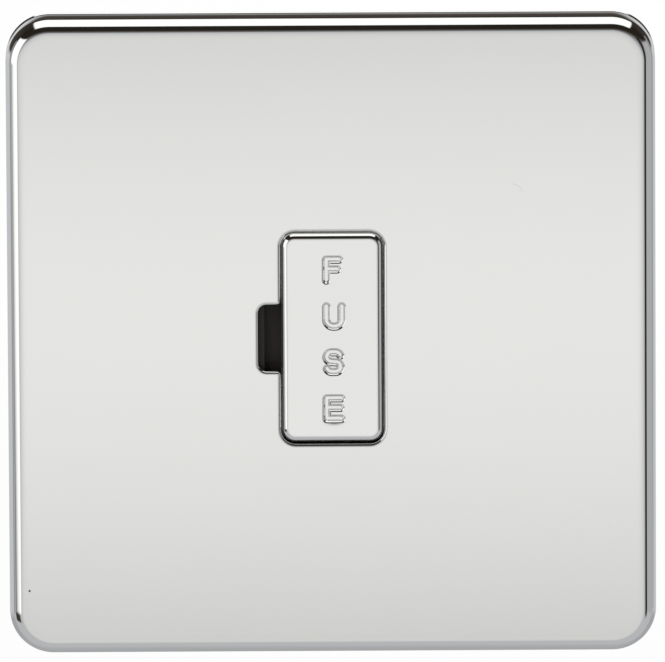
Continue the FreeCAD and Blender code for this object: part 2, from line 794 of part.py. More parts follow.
def make_carrier_tray():
    """Moulded drawer behind the cap: walls round the fuse, two holders and two barbed arms."""
    body = new_body("fuse_carrier_tray")
    plug_gap = s.cap_skirt_wall + s.tray_fit
    plug_corner = s.cap_corner_radius - s.cap_skirt_wall
    plug = centred_box(cap_x - plug_gap, cap_z - plug_gap, plug_corner)
    pad(body, "y", tray_front, skirt_rear, plug)
    flange = centred_box(cap_x - s.tray_fit, cap_z - s.tray_fit, s.cap_corner_radius)
    pad(body, "y", skirt_rear, tray_flange_rear, flange)
    holder_z = []
    for up in (-1, 1):
        end_wall = box(-tray_outer_x, tray_outer_x, up * tray_inner_z, up * tray_outer_z)
        pad(body, "y", tray_flange_rear, tray_wall_rear, end_wall)
        arm = box(-s.tray_arm_width / 2, s.tray_arm_width / 2, up * tray_inner_z, up * tray_outer_z)
        pad(body, "y", tray_wall_rear, arm_rear, arm)
        foot = up * (tray_outer_z - s.barb_bite)
        tip = up * barb_z
        barb = polygon((barb_front, foot), (barb_front, tip), (barb_front + s.barb_land, tip), (barb_rear, foot))
        pad(body, "x", -s.tray_arm_width / 2, s.tray_arm_width / 2, barb)
        holder_z.append(up * s.holder_offset)
    pad(body, "y", tray_flange_rear, tray_wall_rear, box(tray_inner_x, tray_outer_x, -tray_inner_z, tray_inner_z))
    low_wall = box(-tray_outer_x, -tray_inner_x, -tray_inner_z, tray_inner_z)
    pad(body, "y", tray_flange_rear, tray_flange_rear + s.tray_low_wall_height, low_wall)
    half = s.holder_thickness / 2
    tip = -tube_radius - s.holder_lip
    for middle in holder_z:
        holder = box(tip, tray_inner_x, tray_flange_rear, tray_wall_rear)
        pad(body, "z", middle - half, middle + half, holder)
    round_seat = circle(0, fuse_y, tube_radius + s.holder_clearance)
    mouth = s.holder_mouth / 2
    throat = box(tip - s.holder_lip, 0, fuse_y - mouth, fuse_y + mouth)
    for middle in holder_z:
        pocket(body, "z", middle - half, middle + half, round_seat)
        pocket(body, "z", middle - half, middle + half, throat)
    edge = -cap_x + s.tray_fit
    groove_half = s.pry_groove_width / 2
    groove = box(edge - s.tray_fit, edge + s.pry_groove_depth, -groove_half, groove_half)
    pocket(body, "y", skirt_rear, tray_flange_rear, groove)


def make_fuse():
    """Ceramic tube with a plated cup pressed over each end."""
    tube = new_body("fuse_tube")
    tube_end = fuse_half - s.fuse_cap_end
    pad(tube, "z", -tube_end, tube_end, circle(0, fuse_y, tube_radius))
    for label, up in (("fuse_end_cap_upper", 1), ("fuse_end_cap_lower", -1)):
        cup = new_body(label)
        mouth = up * (fuse_half - s.fuse_cap_length)
        end = up * fuse_half
        low, high = (mouth, end) if up > 0 else (end, mouth)
        pad(cup, "z", low, high, circle(0, fuse_y, fuse_radius))
        round_edges(cup, s.fuse_cap_edge_radius, in_plane("z", end))
        floor = up * tube_end
        low, high = (mouth, floor) if up > 0 else (floor, mouth)
        pocket(cup, "z", low, high, circle(0, fuse_y, tube_radius + s.fuse_cap_fit))


def make_line_contact(label, up):
    """Spring clip for one end of the fuse, with the strap that runs out to its terminal."""
    body = new_body(label)
    low, high = (clip_low, clip_high) if up > 0 else (-clip_high, -clip_low)
    arm_front = fuse_y - s.clip_reach
    lip_front = arm_front - s.clip_lip
    inner_lip = clip_inner + s.clip_flare
    outer_lip = clip_outer + s.clip_flare
    right_half = [
        (clip_outer, strap_rear),
        (clip_outer, arm_front),
        (outer_lip, lip_front),
        (inner_lip, lip_front),
        (clip_inner, arm_front),
        (clip_inner, strap_front),
    ]
    left_half = [(-x, y) for x, y in reversed(right_half)]
    pad(body, "z", low, high, polygon(*right_half, *left_half))
    bend = s.contact_sheet + s.rivet_clearance

    def outer_bend(edge):
        middle = edge.BoundBox.Center
        along = edge.BoundBox.ZLength > s.contact_sheet.number
        at_side = abs(abs(middle.x) - clip_outer.number) < NEAR
        return along and at_side and abs(middle.y - strap_rear.number) < NEAR

    round_edges(body, bend, outer_bend)
    radius = s.strap_corner_radius
    strap = corners(
        (-link_right, up * clip_low, radius),
        (-clip_inner + s.contact_sheet, up * clip_low, None),
        (-clip_inner + s.contact_sheet, up * clip_high, None),
        (-link_left, up * clip_high, radius),
        (-link_left, up * block_out_z, radius),
        (-link_right, up * block_out_z, radius),
    )
    pad(body, "y", strap_front, strap_rear, strap)


def make_neutral_link():
    """Flat strap between the two neutral terminals."""
    body = new_body("neutral_link")
    radius = s.strap_corner_radius
    waist_left = link_left + s.link_waist
    waist_right = link_right - s.link_waist
    link = corners(
        (link_left, -block_out_z, radius),
        (link_right, -block_out_z, radius),
        (link_right, -block_in_z, None),
        (waist_right, -block_in_z, None),
        (waist_right, block_in_z, None),
        (link_right, block_in_z, None),
        (link_right, block_out_z, radius),
        (link_left, block_out_z, radius),
        (link_left, block_in_z, None),
        (waist_left, block_in_z, None),
        (waist_left, -block_in_z, None),
        (link_left, -block_in_z, None),
    )
    pad(body, "y", strap_front, strap_rear, link)


def make_terminal(label, x, z, front):
    """Brass block with a wire bore up and down and a threaded hole from behind."""
    body = new_body(label, x, z)
    pad(body, "y", front, block_rear, centred_box(block_half_x, block_half_z))
    if front is wall_plane:
        neck = s.spigot_head_height + s.yoke_sheet
        pad(body, "y", yoke_front, wall_plane, circle(0, 0, s.spigot_radius))
        pad(body, "y", wall_plane - neck, yoke_front, circle(0, 0, s.spigot_head_radius))
    pocket(body, "z", -block_half_z, block_half_z, circle(0, bore_y, s.wire_bore_radius))
    pocket(body, "y", bore_y, block_rear, circle(0, 0, s.thread_radius + s.thread_clearance))


def make_terminal_screw(label, x, z):
    """Slotted screw that clamps a wire in its terminal, turned from one bar."""
    body = new_body(label, x, z)
    radius = s.thread_radius
    profile = polygon(
        (0, screw_tip),
        (radius - s.screw_tip_chamfer, screw_tip),
        (radius, screw_tip + s.screw_tip_chamfer),
        (radius, head_front),
        (s.screw_head_radius, head_front),
        (s.screw_head_radius, head_rear - s.screw_head_edge),
        (s.screw_head_radius - s.screw_head_edge, head_rear),
        (0, head_rear),
    )
    sketch = draw(body, "z", ZERO, [profile])
    turned = body.newObject("PartDesign::Revolution", f"{body.Name}_turned")
    turned.Profile = sketch
    turned.ReferenceAxis = (sketch, ["V_Axis"])
    turned.Angle = 360
    half = s.screw_slot_width / 2
    reach = s.screw_head_radius
    pocket(body, "y", head_rear - s.screw_slot_depth, head_rear, box(-reach, reach, -half, half))


def leaf_points(edge_place):
    """One bowed leaf seen along Y: feet flat on the yoke's edge and a flat crown between them."""
    half = s.spring_length / 2
    foot = half - s.spring_foot
    crown = s.spring_crown / 2
    out = edge_place + s.spring_bow
    return [
        (-half, edge_place),
        (-foot, edge_place),
        (-crown, out),
        (crown, out),
        (foot, edge_place),
        (half, edge_place),
        (half, edge_place + s.spring_sheet),
        (foot, edge_place + s.spring_sheet),
        (crown, out + s.spring_sheet),
        (-crown, out + s.spring_sheet),
        (-foot, edge_place + s.spring_sheet),
        (-half, edge_place + s.spring_sheet),
    ]


def make_plate_springs():
    """Four leaf springs on the yoke's edges that grip the inside of the liner."""
    body = new_body("plate_springs")
    leaves = []
    for way in (-1, 1):
        leaves.append(polygon(*[(along, way * out) for along, out in leaf_points(yoke_out_z)]))
        leaves.append(polygon(*[(way * out, along) for along, out in leaf_points(yoke_out_x)]))
    pad(body, "y", spring_front, spring_back, *leaves)
    hole = s.rivet_radius + s.rivet_clearance
    out_x = yoke_out_x + s.spring_room
    out_z = yoke_out_z + s.spring_room
    spots = [circle(spring_y, way * spring_foot_place, hole) for way in (-1, 1)]
    pocket(body, "x", -out_x, out_x, *spots)
    spots = [circle(way * spring_foot_place, spring_y, hole) for way in (-1, 1)]
    pocket(body, "z", -out_z, out_z, *spots)


def make_earth_spring():
    """Leaf riveted to the yoke that presses on the back of the metal plate."""
    body = new_body("plate_earth_spring")
    start = earth_spring_start
    foot = earth_spring_foot_end
    top = earth_spring_top
    end = earth_spring_end
    sheet = s.earth_spring_sheet
    face = plate_back + s.earth_spring_gap
    leaf = polygon(
        (yoke_front, start),
        (yoke_front, foot),
        (face + sheet, top),
        (face + sheet, end),
        (face, end),
        (face, top - sheet / 2),
        (yoke_front - sheet, foot - sheet / 2),
        (yoke_front - sheet, start),
    )
    half = s.earth_spring_width / 2
    pad(body, "x", -half, half, leaf)
    hole = s.rivet_radius + s.rivet_clearance
    pocket(body, "y", yoke_front - sheet, yoke_front, circle(0, earth_rivet_z, hole))


def make_spring_rivets():
    """Rivets of the leaf springs, with their heads inside the yoke's edges, and of the earth spring."""
    body = new_body("spring_rivets")
    shank = s.rivet_radius
    head = s.rivet_head_radius
    foot_out = s.spring_sheet
    for way in (-1, 1):
        inner_x = way * (yoke_out_x - s.yoke_sheet)
        outer_x = way * (yoke_out_x + foot_out)
        head_x = inner_x - way * s.rivet_head_height
        inner_z = way * (yoke_out_z - s.yoke_sheet)
        outer_z = way * (yoke_out_z + foot_out)
        head_z = inner_z - way * s.rivet_head_height
        spots_x = [(spring_y, side * spring_foot_place) for side in (-1, 1)]
        spots_z = [(side * spring_foot_place, spring_y) for side in (-1, 1)]
        rows = [("x", inner_x, outer_x, head_x, spots_x), ("z", inner_z, outer_z, head_z, spots_z)]
        for axis, inner, outer, head_end, spots in rows:
            low, high = (inner, outer) if way > 0 else (outer, inner)
            pad(body, axis, low, high, *[circle(u, v, shank) for u, v in spots])
            low, high = (head_end, inner) if way > 0 else (inner, head_end)
            pad(body, axis, low, high, *[circle(u, v, head) for u, v in spots])
    foot_front = yoke_front - s.earth_spring_sheet
    pad(body, "y", foot_front, wall_plane, circle(0, earth_rivet_z, shank))
    pad(body, "y", foot_front - s.rivet_head_height, foot_front, circle(0, earth_rivet_z, head))


make_front_plate()
make_plate_liner()
make_mounting_yoke()
make_fuse_housing()
make_rear_housing()
make_housing_screws()
make_carrier_cap()
make_carrier_tray()
make_fuse()
make_line_contact("line_supply_contact", 1)
make_line_contact("line_load_contact", -1)
make_neutral_link()
TERMINALS = [
    ("line_supply", -1, 1, block_front),
    ("line_load", -1, -1, block_front),
    ("neutral_supply", 1, 1, block_front),
    ("neutral_load", 1, -1, block_front),
    ("earth_supply", 0, 1, wall_plane),
    ("earth_load", 0, -1, wall_plane),
]
for name, column, up, front in TERMINALS:
    terminal_x = column * s.terminal_pitch
    make_terminal(name + "_terminal", terminal_x, up * terminal_z, front)
    make_terminal_screw(name + "_screw", terminal_x, up * terminal_z)
make_plate_springs()
make_earth_spring()
make_spring_rivets()
doc.recompute()


# Every feature must have worked, and every piece must be sound, before anything is written.
for item in doc.Objects:
    if "Invalid" in item.State or "Error" in item.State:
        raise RuntimeError(f"{item.Name} did not work out: {item.State}")
    if item.isDerivedFrom("PartDesign::Pocket"):
        if item.Shape.Volume >= item.BaseFeature.Shape.Volume - NEAR:
            raise RuntimeError(f"{item.Name} cuts nothing")
for body in bodies:
    if body.Shape.isNull() or not body.Shape.isValid() or body.Shape.Volume <= 0:
        raise RuntimeError(f"{body.Label} is not a sound solid")

os.makedirs("parts", exist_ok=True)
for body in bodies:
    body.Shape.exportStep(os.path.join("parts", body.Label + ".step"))
    print(body.Label, len(body.Shape.Solids), "solids", round(body.Shape.Volume, 1), "mm3")
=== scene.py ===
# %% [markdown]
# A fused spur unit, dressed for the camera
#
# The object is a square wall plate of pressed sheet with a mirror finish. A fuse carrier sits in a window
# in its middle, and a moulded unit with terminals stands behind it, in the wall. The construction comes
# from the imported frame, which is loaded first and never moved. This script gives every surface its finish,
# and makes again, as smooth surfaces, the two pieces whose polish would show the flats of an ordinary mesh.

# %% Load the frame
import json
import math

import bpy
import numpy as np
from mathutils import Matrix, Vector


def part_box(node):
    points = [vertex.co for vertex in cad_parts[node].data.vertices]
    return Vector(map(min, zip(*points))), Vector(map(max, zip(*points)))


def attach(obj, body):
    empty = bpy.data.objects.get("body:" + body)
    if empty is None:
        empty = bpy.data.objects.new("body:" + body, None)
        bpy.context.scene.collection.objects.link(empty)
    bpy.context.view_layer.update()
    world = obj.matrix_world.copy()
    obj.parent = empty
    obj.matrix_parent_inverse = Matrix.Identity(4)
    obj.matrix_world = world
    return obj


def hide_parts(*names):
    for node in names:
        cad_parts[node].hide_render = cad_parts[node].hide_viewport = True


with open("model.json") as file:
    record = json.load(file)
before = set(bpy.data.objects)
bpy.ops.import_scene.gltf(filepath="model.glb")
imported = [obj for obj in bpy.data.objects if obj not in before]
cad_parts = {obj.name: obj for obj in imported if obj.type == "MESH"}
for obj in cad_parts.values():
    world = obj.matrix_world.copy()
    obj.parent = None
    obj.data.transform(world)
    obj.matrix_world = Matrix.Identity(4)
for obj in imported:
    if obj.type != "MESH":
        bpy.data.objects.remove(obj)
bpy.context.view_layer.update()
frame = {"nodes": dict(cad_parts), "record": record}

MM = 0.001

# %% [markdown]
# ## Where the camera stands
#
# The plate looks almost flat-on, but the top of its turned edge shows and the bottom doesn't, so the camera
# is above it. The sides of the square hardly draw together, so the camera is far away with a long lens. The
# angle, the distance and the small roll were worked out from the four sides of the plate. The camera aims a
# little off the middle instead of using lens shift, which keeps every other view honest.

# %% Camera
PHOTO_WIDTH = 665
PLATE_PIXELS_PER_METRE = 7360.1
CAMERA_ELEVATION = math.radians(12.07)
CAMERA_ROLL = math.radians(-0.30)
CAMERA_DISTANCE = 2.8665
SENSOR_WIDTH = 36.0
AIM = np.array([0.00012, -0.003, 0.00032])


def look_from(elevation, distance, roll):
    """A camera at a distance from the aim, raised by an elevation and rolled about its own axis."""
    data = bpy.data.cameras.new("camera")
    camera = bpy.data.objects.new("camera", data)
    bpy.context.scene.collection.objects.link(camera)
    out = np.array([0.0, -math.cos(elevation), math.sin(elevation)])
    camera.location = AIM + out * distance
    camera.rotation_mode = "ZYX"
    camera.rotation_euler = (math.pi / 2 - elevation, 0.0, roll)
    data.sensor_fit = "HORIZONTAL"
    data.sensor_width = SENSOR_WIDTH
    data.lens = SENSOR_WIDTH * PLATE_PIXELS_PER_METRE * distance / PHOTO_WIDTH
    return camera


bpy.context.scene.camera = look_from(CAMERA_ELEVATION, CAMERA_DISTANCE, CAMERA_ROLL)
print("lens in mm:", round(bpy.context.scene.camera.data.lens))

# %% [markdown]
# ## Shader sums in plain Python
#
# A finish is mostly arithmetic on masks: a little noise times a little strength, added to a colour. One
# small class wraps a socket and gives it the operators, so an expression such as `0.04 + 0.02 * grain` adds
# its own Math nodes. Colours go through a Mix node, because Math turns a colour grey.

# %% A socket with operators
class Signal:
    """A number in a node tree. Sums, products and powers of it add the Math nodes that they need."""

    def __init__(self, tree, socket):
        self.tree = tree
        self.socket = socket

    def node(self, kind, settings=None, inputs=None, output=0):
        """Adds a node of a type, sets its settings, then its inputs by number or name."""
        made = self.tree.nodes.new(kind)
        for name, value in (settings or {}).items():
            if name == "stops":
                set_stops(made.color_ramp, value)
            else:
                setattr(made, name, value)
        for name, value in (inputs or {}).items():
            if isinstance(value, Signal):
                self.tree.links.new(value.socket, made.inputs[name])
            else:
                made.inputs[name].default_value = value
        return Signal(self.tree, made.outputs[output])

    def math(self, operation, *values):
        """One Math node on the given values."""
        return self.node("ShaderNodeMath", {"operation": operation}, dict(enumerate(values)))

    def parts(self):
        """The three coordinates of a place or direction."""
        split = self.tree.nodes.new("ShaderNodeSeparateXYZ")
        self.tree.links.new(self.socket, split.inputs[0])
        return [Signal(self.tree, socket) for socket in split.outputs]

    def rays(self, *names):
        """For each name, a number that is 1 where the light path is of that kind and 0 elsewhere."""
        path = self.tree.nodes.new("ShaderNodeLightPath")
        return [Signal(self.tree, path.outputs[name]) for name in names]

    def __add__(self, other):
        return self.math("ADD", self, other)

    def __radd__(self, other):
        return self.math("ADD", other, self)

    def __sub__(self, other):
        return self.math("SUBTRACT", self, other)

    def __rsub__(self, other):
        return self.math("SUBTRACT", other, self)

    def __mul__(self, other):
        return self.math("MULTIPLY", self, other)

    def __rmul__(self, other):
        return self.math("MULTIPLY", other, self)

    def __truediv__(self, other):
        return self.math("DIVIDE", self, other)

    def __pow__(self, other):
        return self.math("POWER", self, other)

    def __abs__(self):
        return self.math("ABSOLUTE", self)

    def at_least(self, other):
        """The larger of this number and another."""
        return self.math("MAXIMUM", self, other)

    def band(self, low, high):
        """0 below low, 1 above high and a smooth rise between, or the same fall if low is the larger."""
        names = {"Value": self, "From Min": low, "From Max": high}
        return self.node("ShaderNodeMapRange", {"interpolation_type": "SMOOTHSTEP"}, names)

    def fade(self, first, second):
        """A number that goes from the first to the second as this one goes from 0 to 1."""
        return self * (second - first) + first

    def blend(self, first, second):
        """A colour that goes from the first to the second as this number goes from 0 to 1."""
        ends = [end if isinstance(end, Signal) else (*end, 1.0) for end in (first, second)]
        inputs = {0: self, 6: ends[0], 7: ends[1]}
        return self.node("ShaderNodeMix", {"data_type": "RGBA"}, inputs, output=2)


def set_stops(ramp, stops):
    """Stops of a colour ramp: (place, grey or colour), the first and last on the ramp's own two ends."""
    while len(ramp.elements) < len(stops):
        ramp.elements.new(0.5)
    for element, (place, value) in zip(ramp.elements, stops):
        element.position = place
        element.color = (value, value, value, 1.0) if isinstance(value, float) else (*value, 1.0)


# %% [markdown]
# ## The studio
#
# A polished plate has no colour of its own: it shows the room. So the room is the finish. The plate's
# rounded shoulder sweeps nearly every direction in two millimetres, and its highlights give the room away:
# a soft box overhead and one on the left, grey cards and darker gaps at the sides, and a light card in
# front that fills the flat face. The rest of the room is dark above a grey table. A room could be modelled,
# or photographed as an image. It is worked out here from the direction of a ray, because that has no pixels
# to show in a mirror and every edge can be moved by one number.

# %% What the room holds
# The table in front and the backdrop behind: (degrees above the horizon, brightness).
TABLE = [
    (-90.0, 0.46), (-60.0, 0.54), (-20.0, 0.54), (-8.0, 0.47),
    (0.0, 0.40), (8.0, 0.30), (14.0, 0.16), (24.0, 0.02),
]
BACKDROP = [
    (-90.0, 0.46), (-35.0, 0.42), (-22.0, 0.42), (-14.0, 0.60),
    (0.0, 0.68), (4.0, 0.50), (8.0, 0.06), (50.0, 0.03),
]
MEETING = 0.15
SOFT_BOX = 1.2
GREY_CARD = 0.46
SHADE = 0.32
SLOT = 0.05
DARK = 0.03
# Each panel: its wall, then its left, right, low and high as slopes of a ray, its soft edge and its level.
PANELS = [
    ("right", -1.75, -0.98, -0.60, 0.60, 0.10, DARK),
    ("right", -0.80, 0.12, -0.35, 0.36, 0.05, GREY_CARD),
    ("right", 0.14, 0.40, -0.24, 0.50, 0.03, SHADE),
    ("left", -0.17, 0.02, -0.28, 0.50, 0.05, SHADE),
    ("left, leaning", -1.30, -0.30, -0.42, -0.14, 0.05, SLOT),
    ("left, cut level", -2.10, -0.28, -0.10, 2.0, 0.05, SOFT_BOX),
    ("ceiling", -0.50, 0.72, -0.58, 0.97, 0.05, SOFT_BOX),
]
LEAN = 0.24
LEVEL_CUT = (0.71, 0.61)
FACE_CARD = 0.92
FACE_CARD_REACH = 24.0
FACE_CARD_CORE = 2.0
# The colour of each brightness: warm in the dark of the room, a trace of blue in the greys.
TINTS = [
    (0.0, (1.0, 0.80, 0.62)), (0.08, (1.0, 0.86, 0.76)), (0.22, (0.97, 0.98, 1.02)),
    (0.6, (0.98, 1.0, 1.03)), (0.8, (1.0, 1.0, 0.98)), (1.0, (1.0, 1.0, 1.0)),
]
print("panels in the room:", len(PANELS))


# %% The room as a function of direction
GRAZING = 0.02
LEAST_SLOPE = 0.001


def height_ramp(rise, readings):
    """Brightness against the angle of a ray above the horizon, in degrees."""
    stops = [(0.5 + angle / 180.0, level) for angle, level in readings]
    return rise.node("ShaderNodeValToRGB", {"stops": stops}, {0: rise / math.pi + 0.5})


def panel(u, v, left, right, low, high, soft):
    """1 inside a rectangle of two slopes u and v, with soft edges."""
    width = u.band(left - soft, left + soft) * u.band(right + soft, right - soft)
    height = v.band(low - soft, low + soft) * v.band(high + soft, high - soft)
    return width * height


def room_light(x, y, z):
    """The colour that a mirror sees in a direction: table and backdrop, with the panels laid over them."""
    rise = z.math("ARCSINE", z)
    room = y.band(-MEETING, MEETING).fade(height_ramp(rise, TABLE), height_ramp(rise, BACKDROP))
    side, top = abs(x).at_least(LEAST_SLOPE), z.at_least(LEAST_SLOPE)
    along, up = y / side, z / side
    slant = up - along * LEAN
    rightwards, leftwards = x.band(0.0, GRAZING), (0.0 - x).band(0.0, GRAZING)
    walls = {
        "right": (along, up, rightwards),
        "left": (along, up, leftwards),
        "left, leaning": (along, slant, leftwards),
        "left, cut level": (along, slant, leftwards * up.band(*LEVEL_CUT)),
        "ceiling": (x / top, y / top, z.band(0.0, GRAZING)),
    }
    for wall, left, right, low, high, soft, level in PANELS:
        u, v, towards = walls[wall]
        room = (panel(u, v, left, right, low, high, soft) * towards).fade(room, level)
    facing = 0.0 - y * math.cos(CAMERA_ELEVATION) - z * math.sin(CAMERA_ELEVATION)
    reach, core = (math.cos(math.radians(angle)) for angle in (FACE_CARD_REACH, FACE_CARD_CORE))
    room = facing.band(reach, core).fade(room, FACE_CARD)
    tint = room.node("ShaderNodeValToRGB", {"stops": TINTS}, {0: room})
    return room.node("ShaderNodeVectorMath", {"operation": "SCALE"}, {0: tint, "Scale": room})


# %% [markdown]
# Only reflections see that room. The background is white to the camera and through glass, and rays that
# light the other surfaces meet a plain grey, so that a colour renders about as it is written.

# %% World
PLAIN_LIGHT = 0.55
PURE_WHITE = (1.0, 1.0, 1.0)


def make_world():
    """White to the camera and through glass, the room in reflections, and plain grey light on all else."""
    world = bpy.data.worlds.new("studio")
    world.use_nodes = True
    bpy.context.scene.world = world
    tree = world.node_tree
    tree.nodes.clear()
    start = Signal(tree, None)
    room = room_light(*start.node("ShaderNodeTexCoord").parts())
    camera, glass, mirror = start.rays("Is Camera Ray", "Is Transmission Ray", "Is Glossy Ray")
    lit = mirror.blend((PLAIN_LIGHT, PLAIN_LIGHT, PLAIN_LIGHT), room)
    colour = camera.at_least(glass).blend(lit, PURE_WHITE)
    background = start.node("ShaderNodeBackground", None, {"Color": colour, "Strength": 1.0})
    output = tree.nodes.new("ShaderNodeOutputWorld")
    tree.links.new(background.socket, output.inputs["Surface"])
    print("the studio has", len(tree.nodes), "nodes")


make_world()
bpy.context.scene.view_settings.view_transform = "Standard"

# %% [markdown]
# Moulded plastic, brass and steel need a key light and a fill to show their form. Both are large, soft
# lamps, with a third behind for the views of the rear. They stay out of reflections, so that the polished
# metal keeps the room that was read from the photograph.

# %% Lamps
LAMPS = [
    ("key", (-0.5, -0.9, 0.9), 0.7, 7.0),
    ("fill", (0.8, -0.7, 0.2), 0.9, 3.5),
    ("back", (0.3, 0.9, 0.7), 0.8, 5.0),
]


def make_lamp(name, place, width, power):
    """A square soft lamp that faces the middle of the object."""
    data = bpy.data.lights.new(name, "AREA")
    data.size = width
    data.energy = power
    lamp = bpy.data.objects.new(name, data)
    bpy.context.scene.collection.objects.link(lamp)
    lamp.location = place
    level = math.hypot(place[0], place[1])
    lamp.rotation_euler = (math.pi / 2 - math.atan2(place[2], level), 0.0, math.atan2(place[0], -place[1]))
    lamp.visible_camera = False
    lamp.visible_glossy = False


for row in LAMPS:
    make_lamp(*row)
print("lamps:", [row[0] for row in LAMPS])

# %% [markdown]
# The floor is far enough below that its shadow stays soft. To the camera it is nearly all white, with just
# enough of its lit surface mixed in to keep that shadow, and reflections pass through it to the room.

# %% Floor
FLOOR_DROP = 0.105
FLOOR_REACH = 3.0
FLOOR_WHITE = 0.82
FLOOR_GREY = (0.9, 0.9, 0.9)


def make_floor():
    """A pale sheet below the object, white to the camera apart from the object's soft shadow."""
    mesh = bpy.data.meshes.new("floor")
    reach = FLOOR_REACH
    spots = [(-reach, -reach), (reach, -reach), (reach, reach), (-reach, reach)]
    mesh.from_pydata([(x, y, -FLOOR_DROP) for x, y in spots], [], [(0, 1, 2, 3)])
    floor = bpy.data.objects.new("floor", mesh)
    bpy.context.scene.collection.objects.link(floor)
    material = bpy.data.materials.new("pale_floor")
    material.use_nodes = True
    tree = material.node_tree
    tree.nodes.clear()
    start = Signal(tree, None)
    seen, mirrored = start.rays("Is Camera Ray", "Is Glossy Ray")
    lit = start.node("ShaderNodeBsdfDiffuse", None, {"Color": (*FLOOR_GREY, 1.0)})
    glow = start.node("ShaderNodeEmission", None, {"Color": (*PURE_WHITE, 1.0), "Strength": 1.0})
    clear = start.node("ShaderNodeBsdfTransparent")
    pale = start.node("ShaderNodeMixShader", None, {0: seen * FLOOR_WHITE, 1: lit, 2: glow})
    sheet = start.node("ShaderNodeMixShader", None, {0: mirrored, 1: pale, 2: clear})
    output = tree.nodes.new("ShaderNodeOutputMaterial")
    tree.links.new(sheet.socket, output.inputs["Surface"])
    mesh.materials.append(material)


make_floor()
print("floor at", -FLOOR_DROP, "m")

# %% [markdown]
# ## Finishes
#
# Each finish is a Principled shader with its own small pattern, read from object coordinates so that it
# stays put when a piece moves. What is the same all over, such as a sheen or an index, is set on the shader
# itself.

# %% The base of every finish
def new_finish(name, **fixed):
    """A material with one Principled shader, its fixed values, and a starting point for its pattern."""
    material = bpy.data.materials.new(name)
    material.use_nodes = True
    tree = material.node_tree
    shader = tree.nodes["Principled BSDF"]
    for socket, value in fixed.items():
        shader.inputs[socket.replace("_", " ")].default_value = value
    coordinates = tree.nodes.new("ShaderNodeTexCoord")
    return material, shader, Signal(tree, coordinates.outputs["Object"])


def feed(shader, socket, signal):
    """Joins a signal to one of the shader's sockets."""
    signal.tree.links.new(signal.socket, shader.inputs[socket])


def noise(place, per_metre, detail=2.0):
    """Cloudy noise between 0 and 1 with so many waves to the metre."""
    return place.node("ShaderNodeTexNoise", None, {"Vector": place, "Scale": per_metre, "Detail": detail})


def relief(place, height, depth):
    """A normal that stands up where the height does; depth is in metres."""
    return place.node("ShaderNodeBump", None, {"Strength": 1.0, "Distance": depth, "Height": height})


# %% [markdown]
# The plate and the cap are bright plating on buffed metal. The mirror is almost perfect, so the small
# things carry the realism. A perfectly clean mirror looks drawn, so both have a very slight cloudiness and
# haze, in the tone and in the roughness.

# %% Bright plating
CHROME = (0.850, 0.852, 0.838)
NO_LIGHT = (0.0, 0.0, 0.0)


def buffed(place):
    """How dull and how rough plating is at a place: a slow cloud in both, a fine haze in the second."""
    cloud = noise(place, 90.0, 3.0)
    haze = noise(place, 2600.0)
    return (cloud - 0.5) * 0.012, 0.035 + haze * 0.02 + cloud * 0.012


def plating_colour(dull):
    """The plating's own colour, darkened by a share."""
    return (1.0 - dull).blend(NO_LIGHT, CHROME)


# %% [markdown]
# The plate's face has a painted shade: its colour is made a little darker towards its top and bottom, but
# not on its shoulder, standing in for the dimming of its reflection there. The face also has one dark
# pin-prick near the lower left corner and one hairline scratch, a short arc, at the upper right. Marks this
# small could be cut into the mesh. They are masks here, because only their tone shows.

# %% Finish of the plate
plate_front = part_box("front_plate")[0][1]
FLAT_DEPTH = 0.10 * MM
# Where the face's painted shade is centred, how far it reaches, and how dark it gets at that reach.
FACE_SHADE_CENTRE = 3.5 * MM
FACE_SHADE_REACH = 44.0 * MM
PAINTED_FACE_SHADE = 0.2
SPECK = (-41.28 * MM, -35.0 * MM)
SPECK_RADIUS = 0.22 * MM
SPECK_COLOUR = (0.03, 0.028, 0.026)
SCRATCH = (24.5 * MM, 19.7 * MM)
SCRATCH_RADIUS = 1.52 * MM
SCRATCH_HALF_WIDTH = 0.09 * MM
SCRATCH_MIDDLE = math.radians(54.0)
SCRATCH_SPREAD = math.radians(42.0)


def distance(x, z, spot):
    """How far a place on the face is from a spot."""
    return ((x - spot[0]) ** 2.0 + (z - spot[1]) ** 2.0) ** 0.5


def scratch_mask(x, z):
    """1 near a circle, within a spread of directions about the middle of the arc."""
    reach = distance(x, z, SCRATCH)
    near_arc = abs(reach - SCRATCH_RADIUS).band(SCRATCH_HALF_WIDTH, 0.0)
    over, up = x - SCRATCH[0], z - SCRATCH[1]
    towards = over * math.cos(SCRATCH_MIDDLE) + up * math.sin(SCRATCH_MIDDLE)
    return near_arc * (towards / reach).band(math.cos(SCRATCH_SPREAD), math.cos(SCRATCH_SPREAD * 0.6))


def chrome_of_plate():
    """Plating with the painted shade towards the face's top and bottom, the speck and the scratch."""
    material, shader, place = new_finish("plate_chrome", Metallic=1.0)
    x, y, z = place.parts()
    dull, rough = buffed(place)
    height = (z - FACE_SHADE_CENTRE) / FACE_SHADE_REACH
    flat = (y - plate_front).band(FLAT_DEPTH, FLAT_DEPTH / 10)
    speck = distance(x, z, SPECK).band(SPECK_RADIUS, SPECK_RADIUS * 0.4)
    scratch = scratch_mask(x, z)
    # Painted shade: the face grows darker towards its top and bottom; the cloud and the scratch are the
    # plating's own.
    dull = (height ** 2.0 * PAINTED_FACE_SHADE + dull) * flat + scratch * 0.12
    feed(shader, "Base Color", (speck * 0.85).blend(plating_colour(dull), SPECK_COLOUR))
    feed(shader, "Roughness", rough + speck * 0.4 + scratch * 0.1)
    return material


plate_chrome = chrome_of_plate()
print("front of the plate at", round(plate_front / MM, 2), "mm")
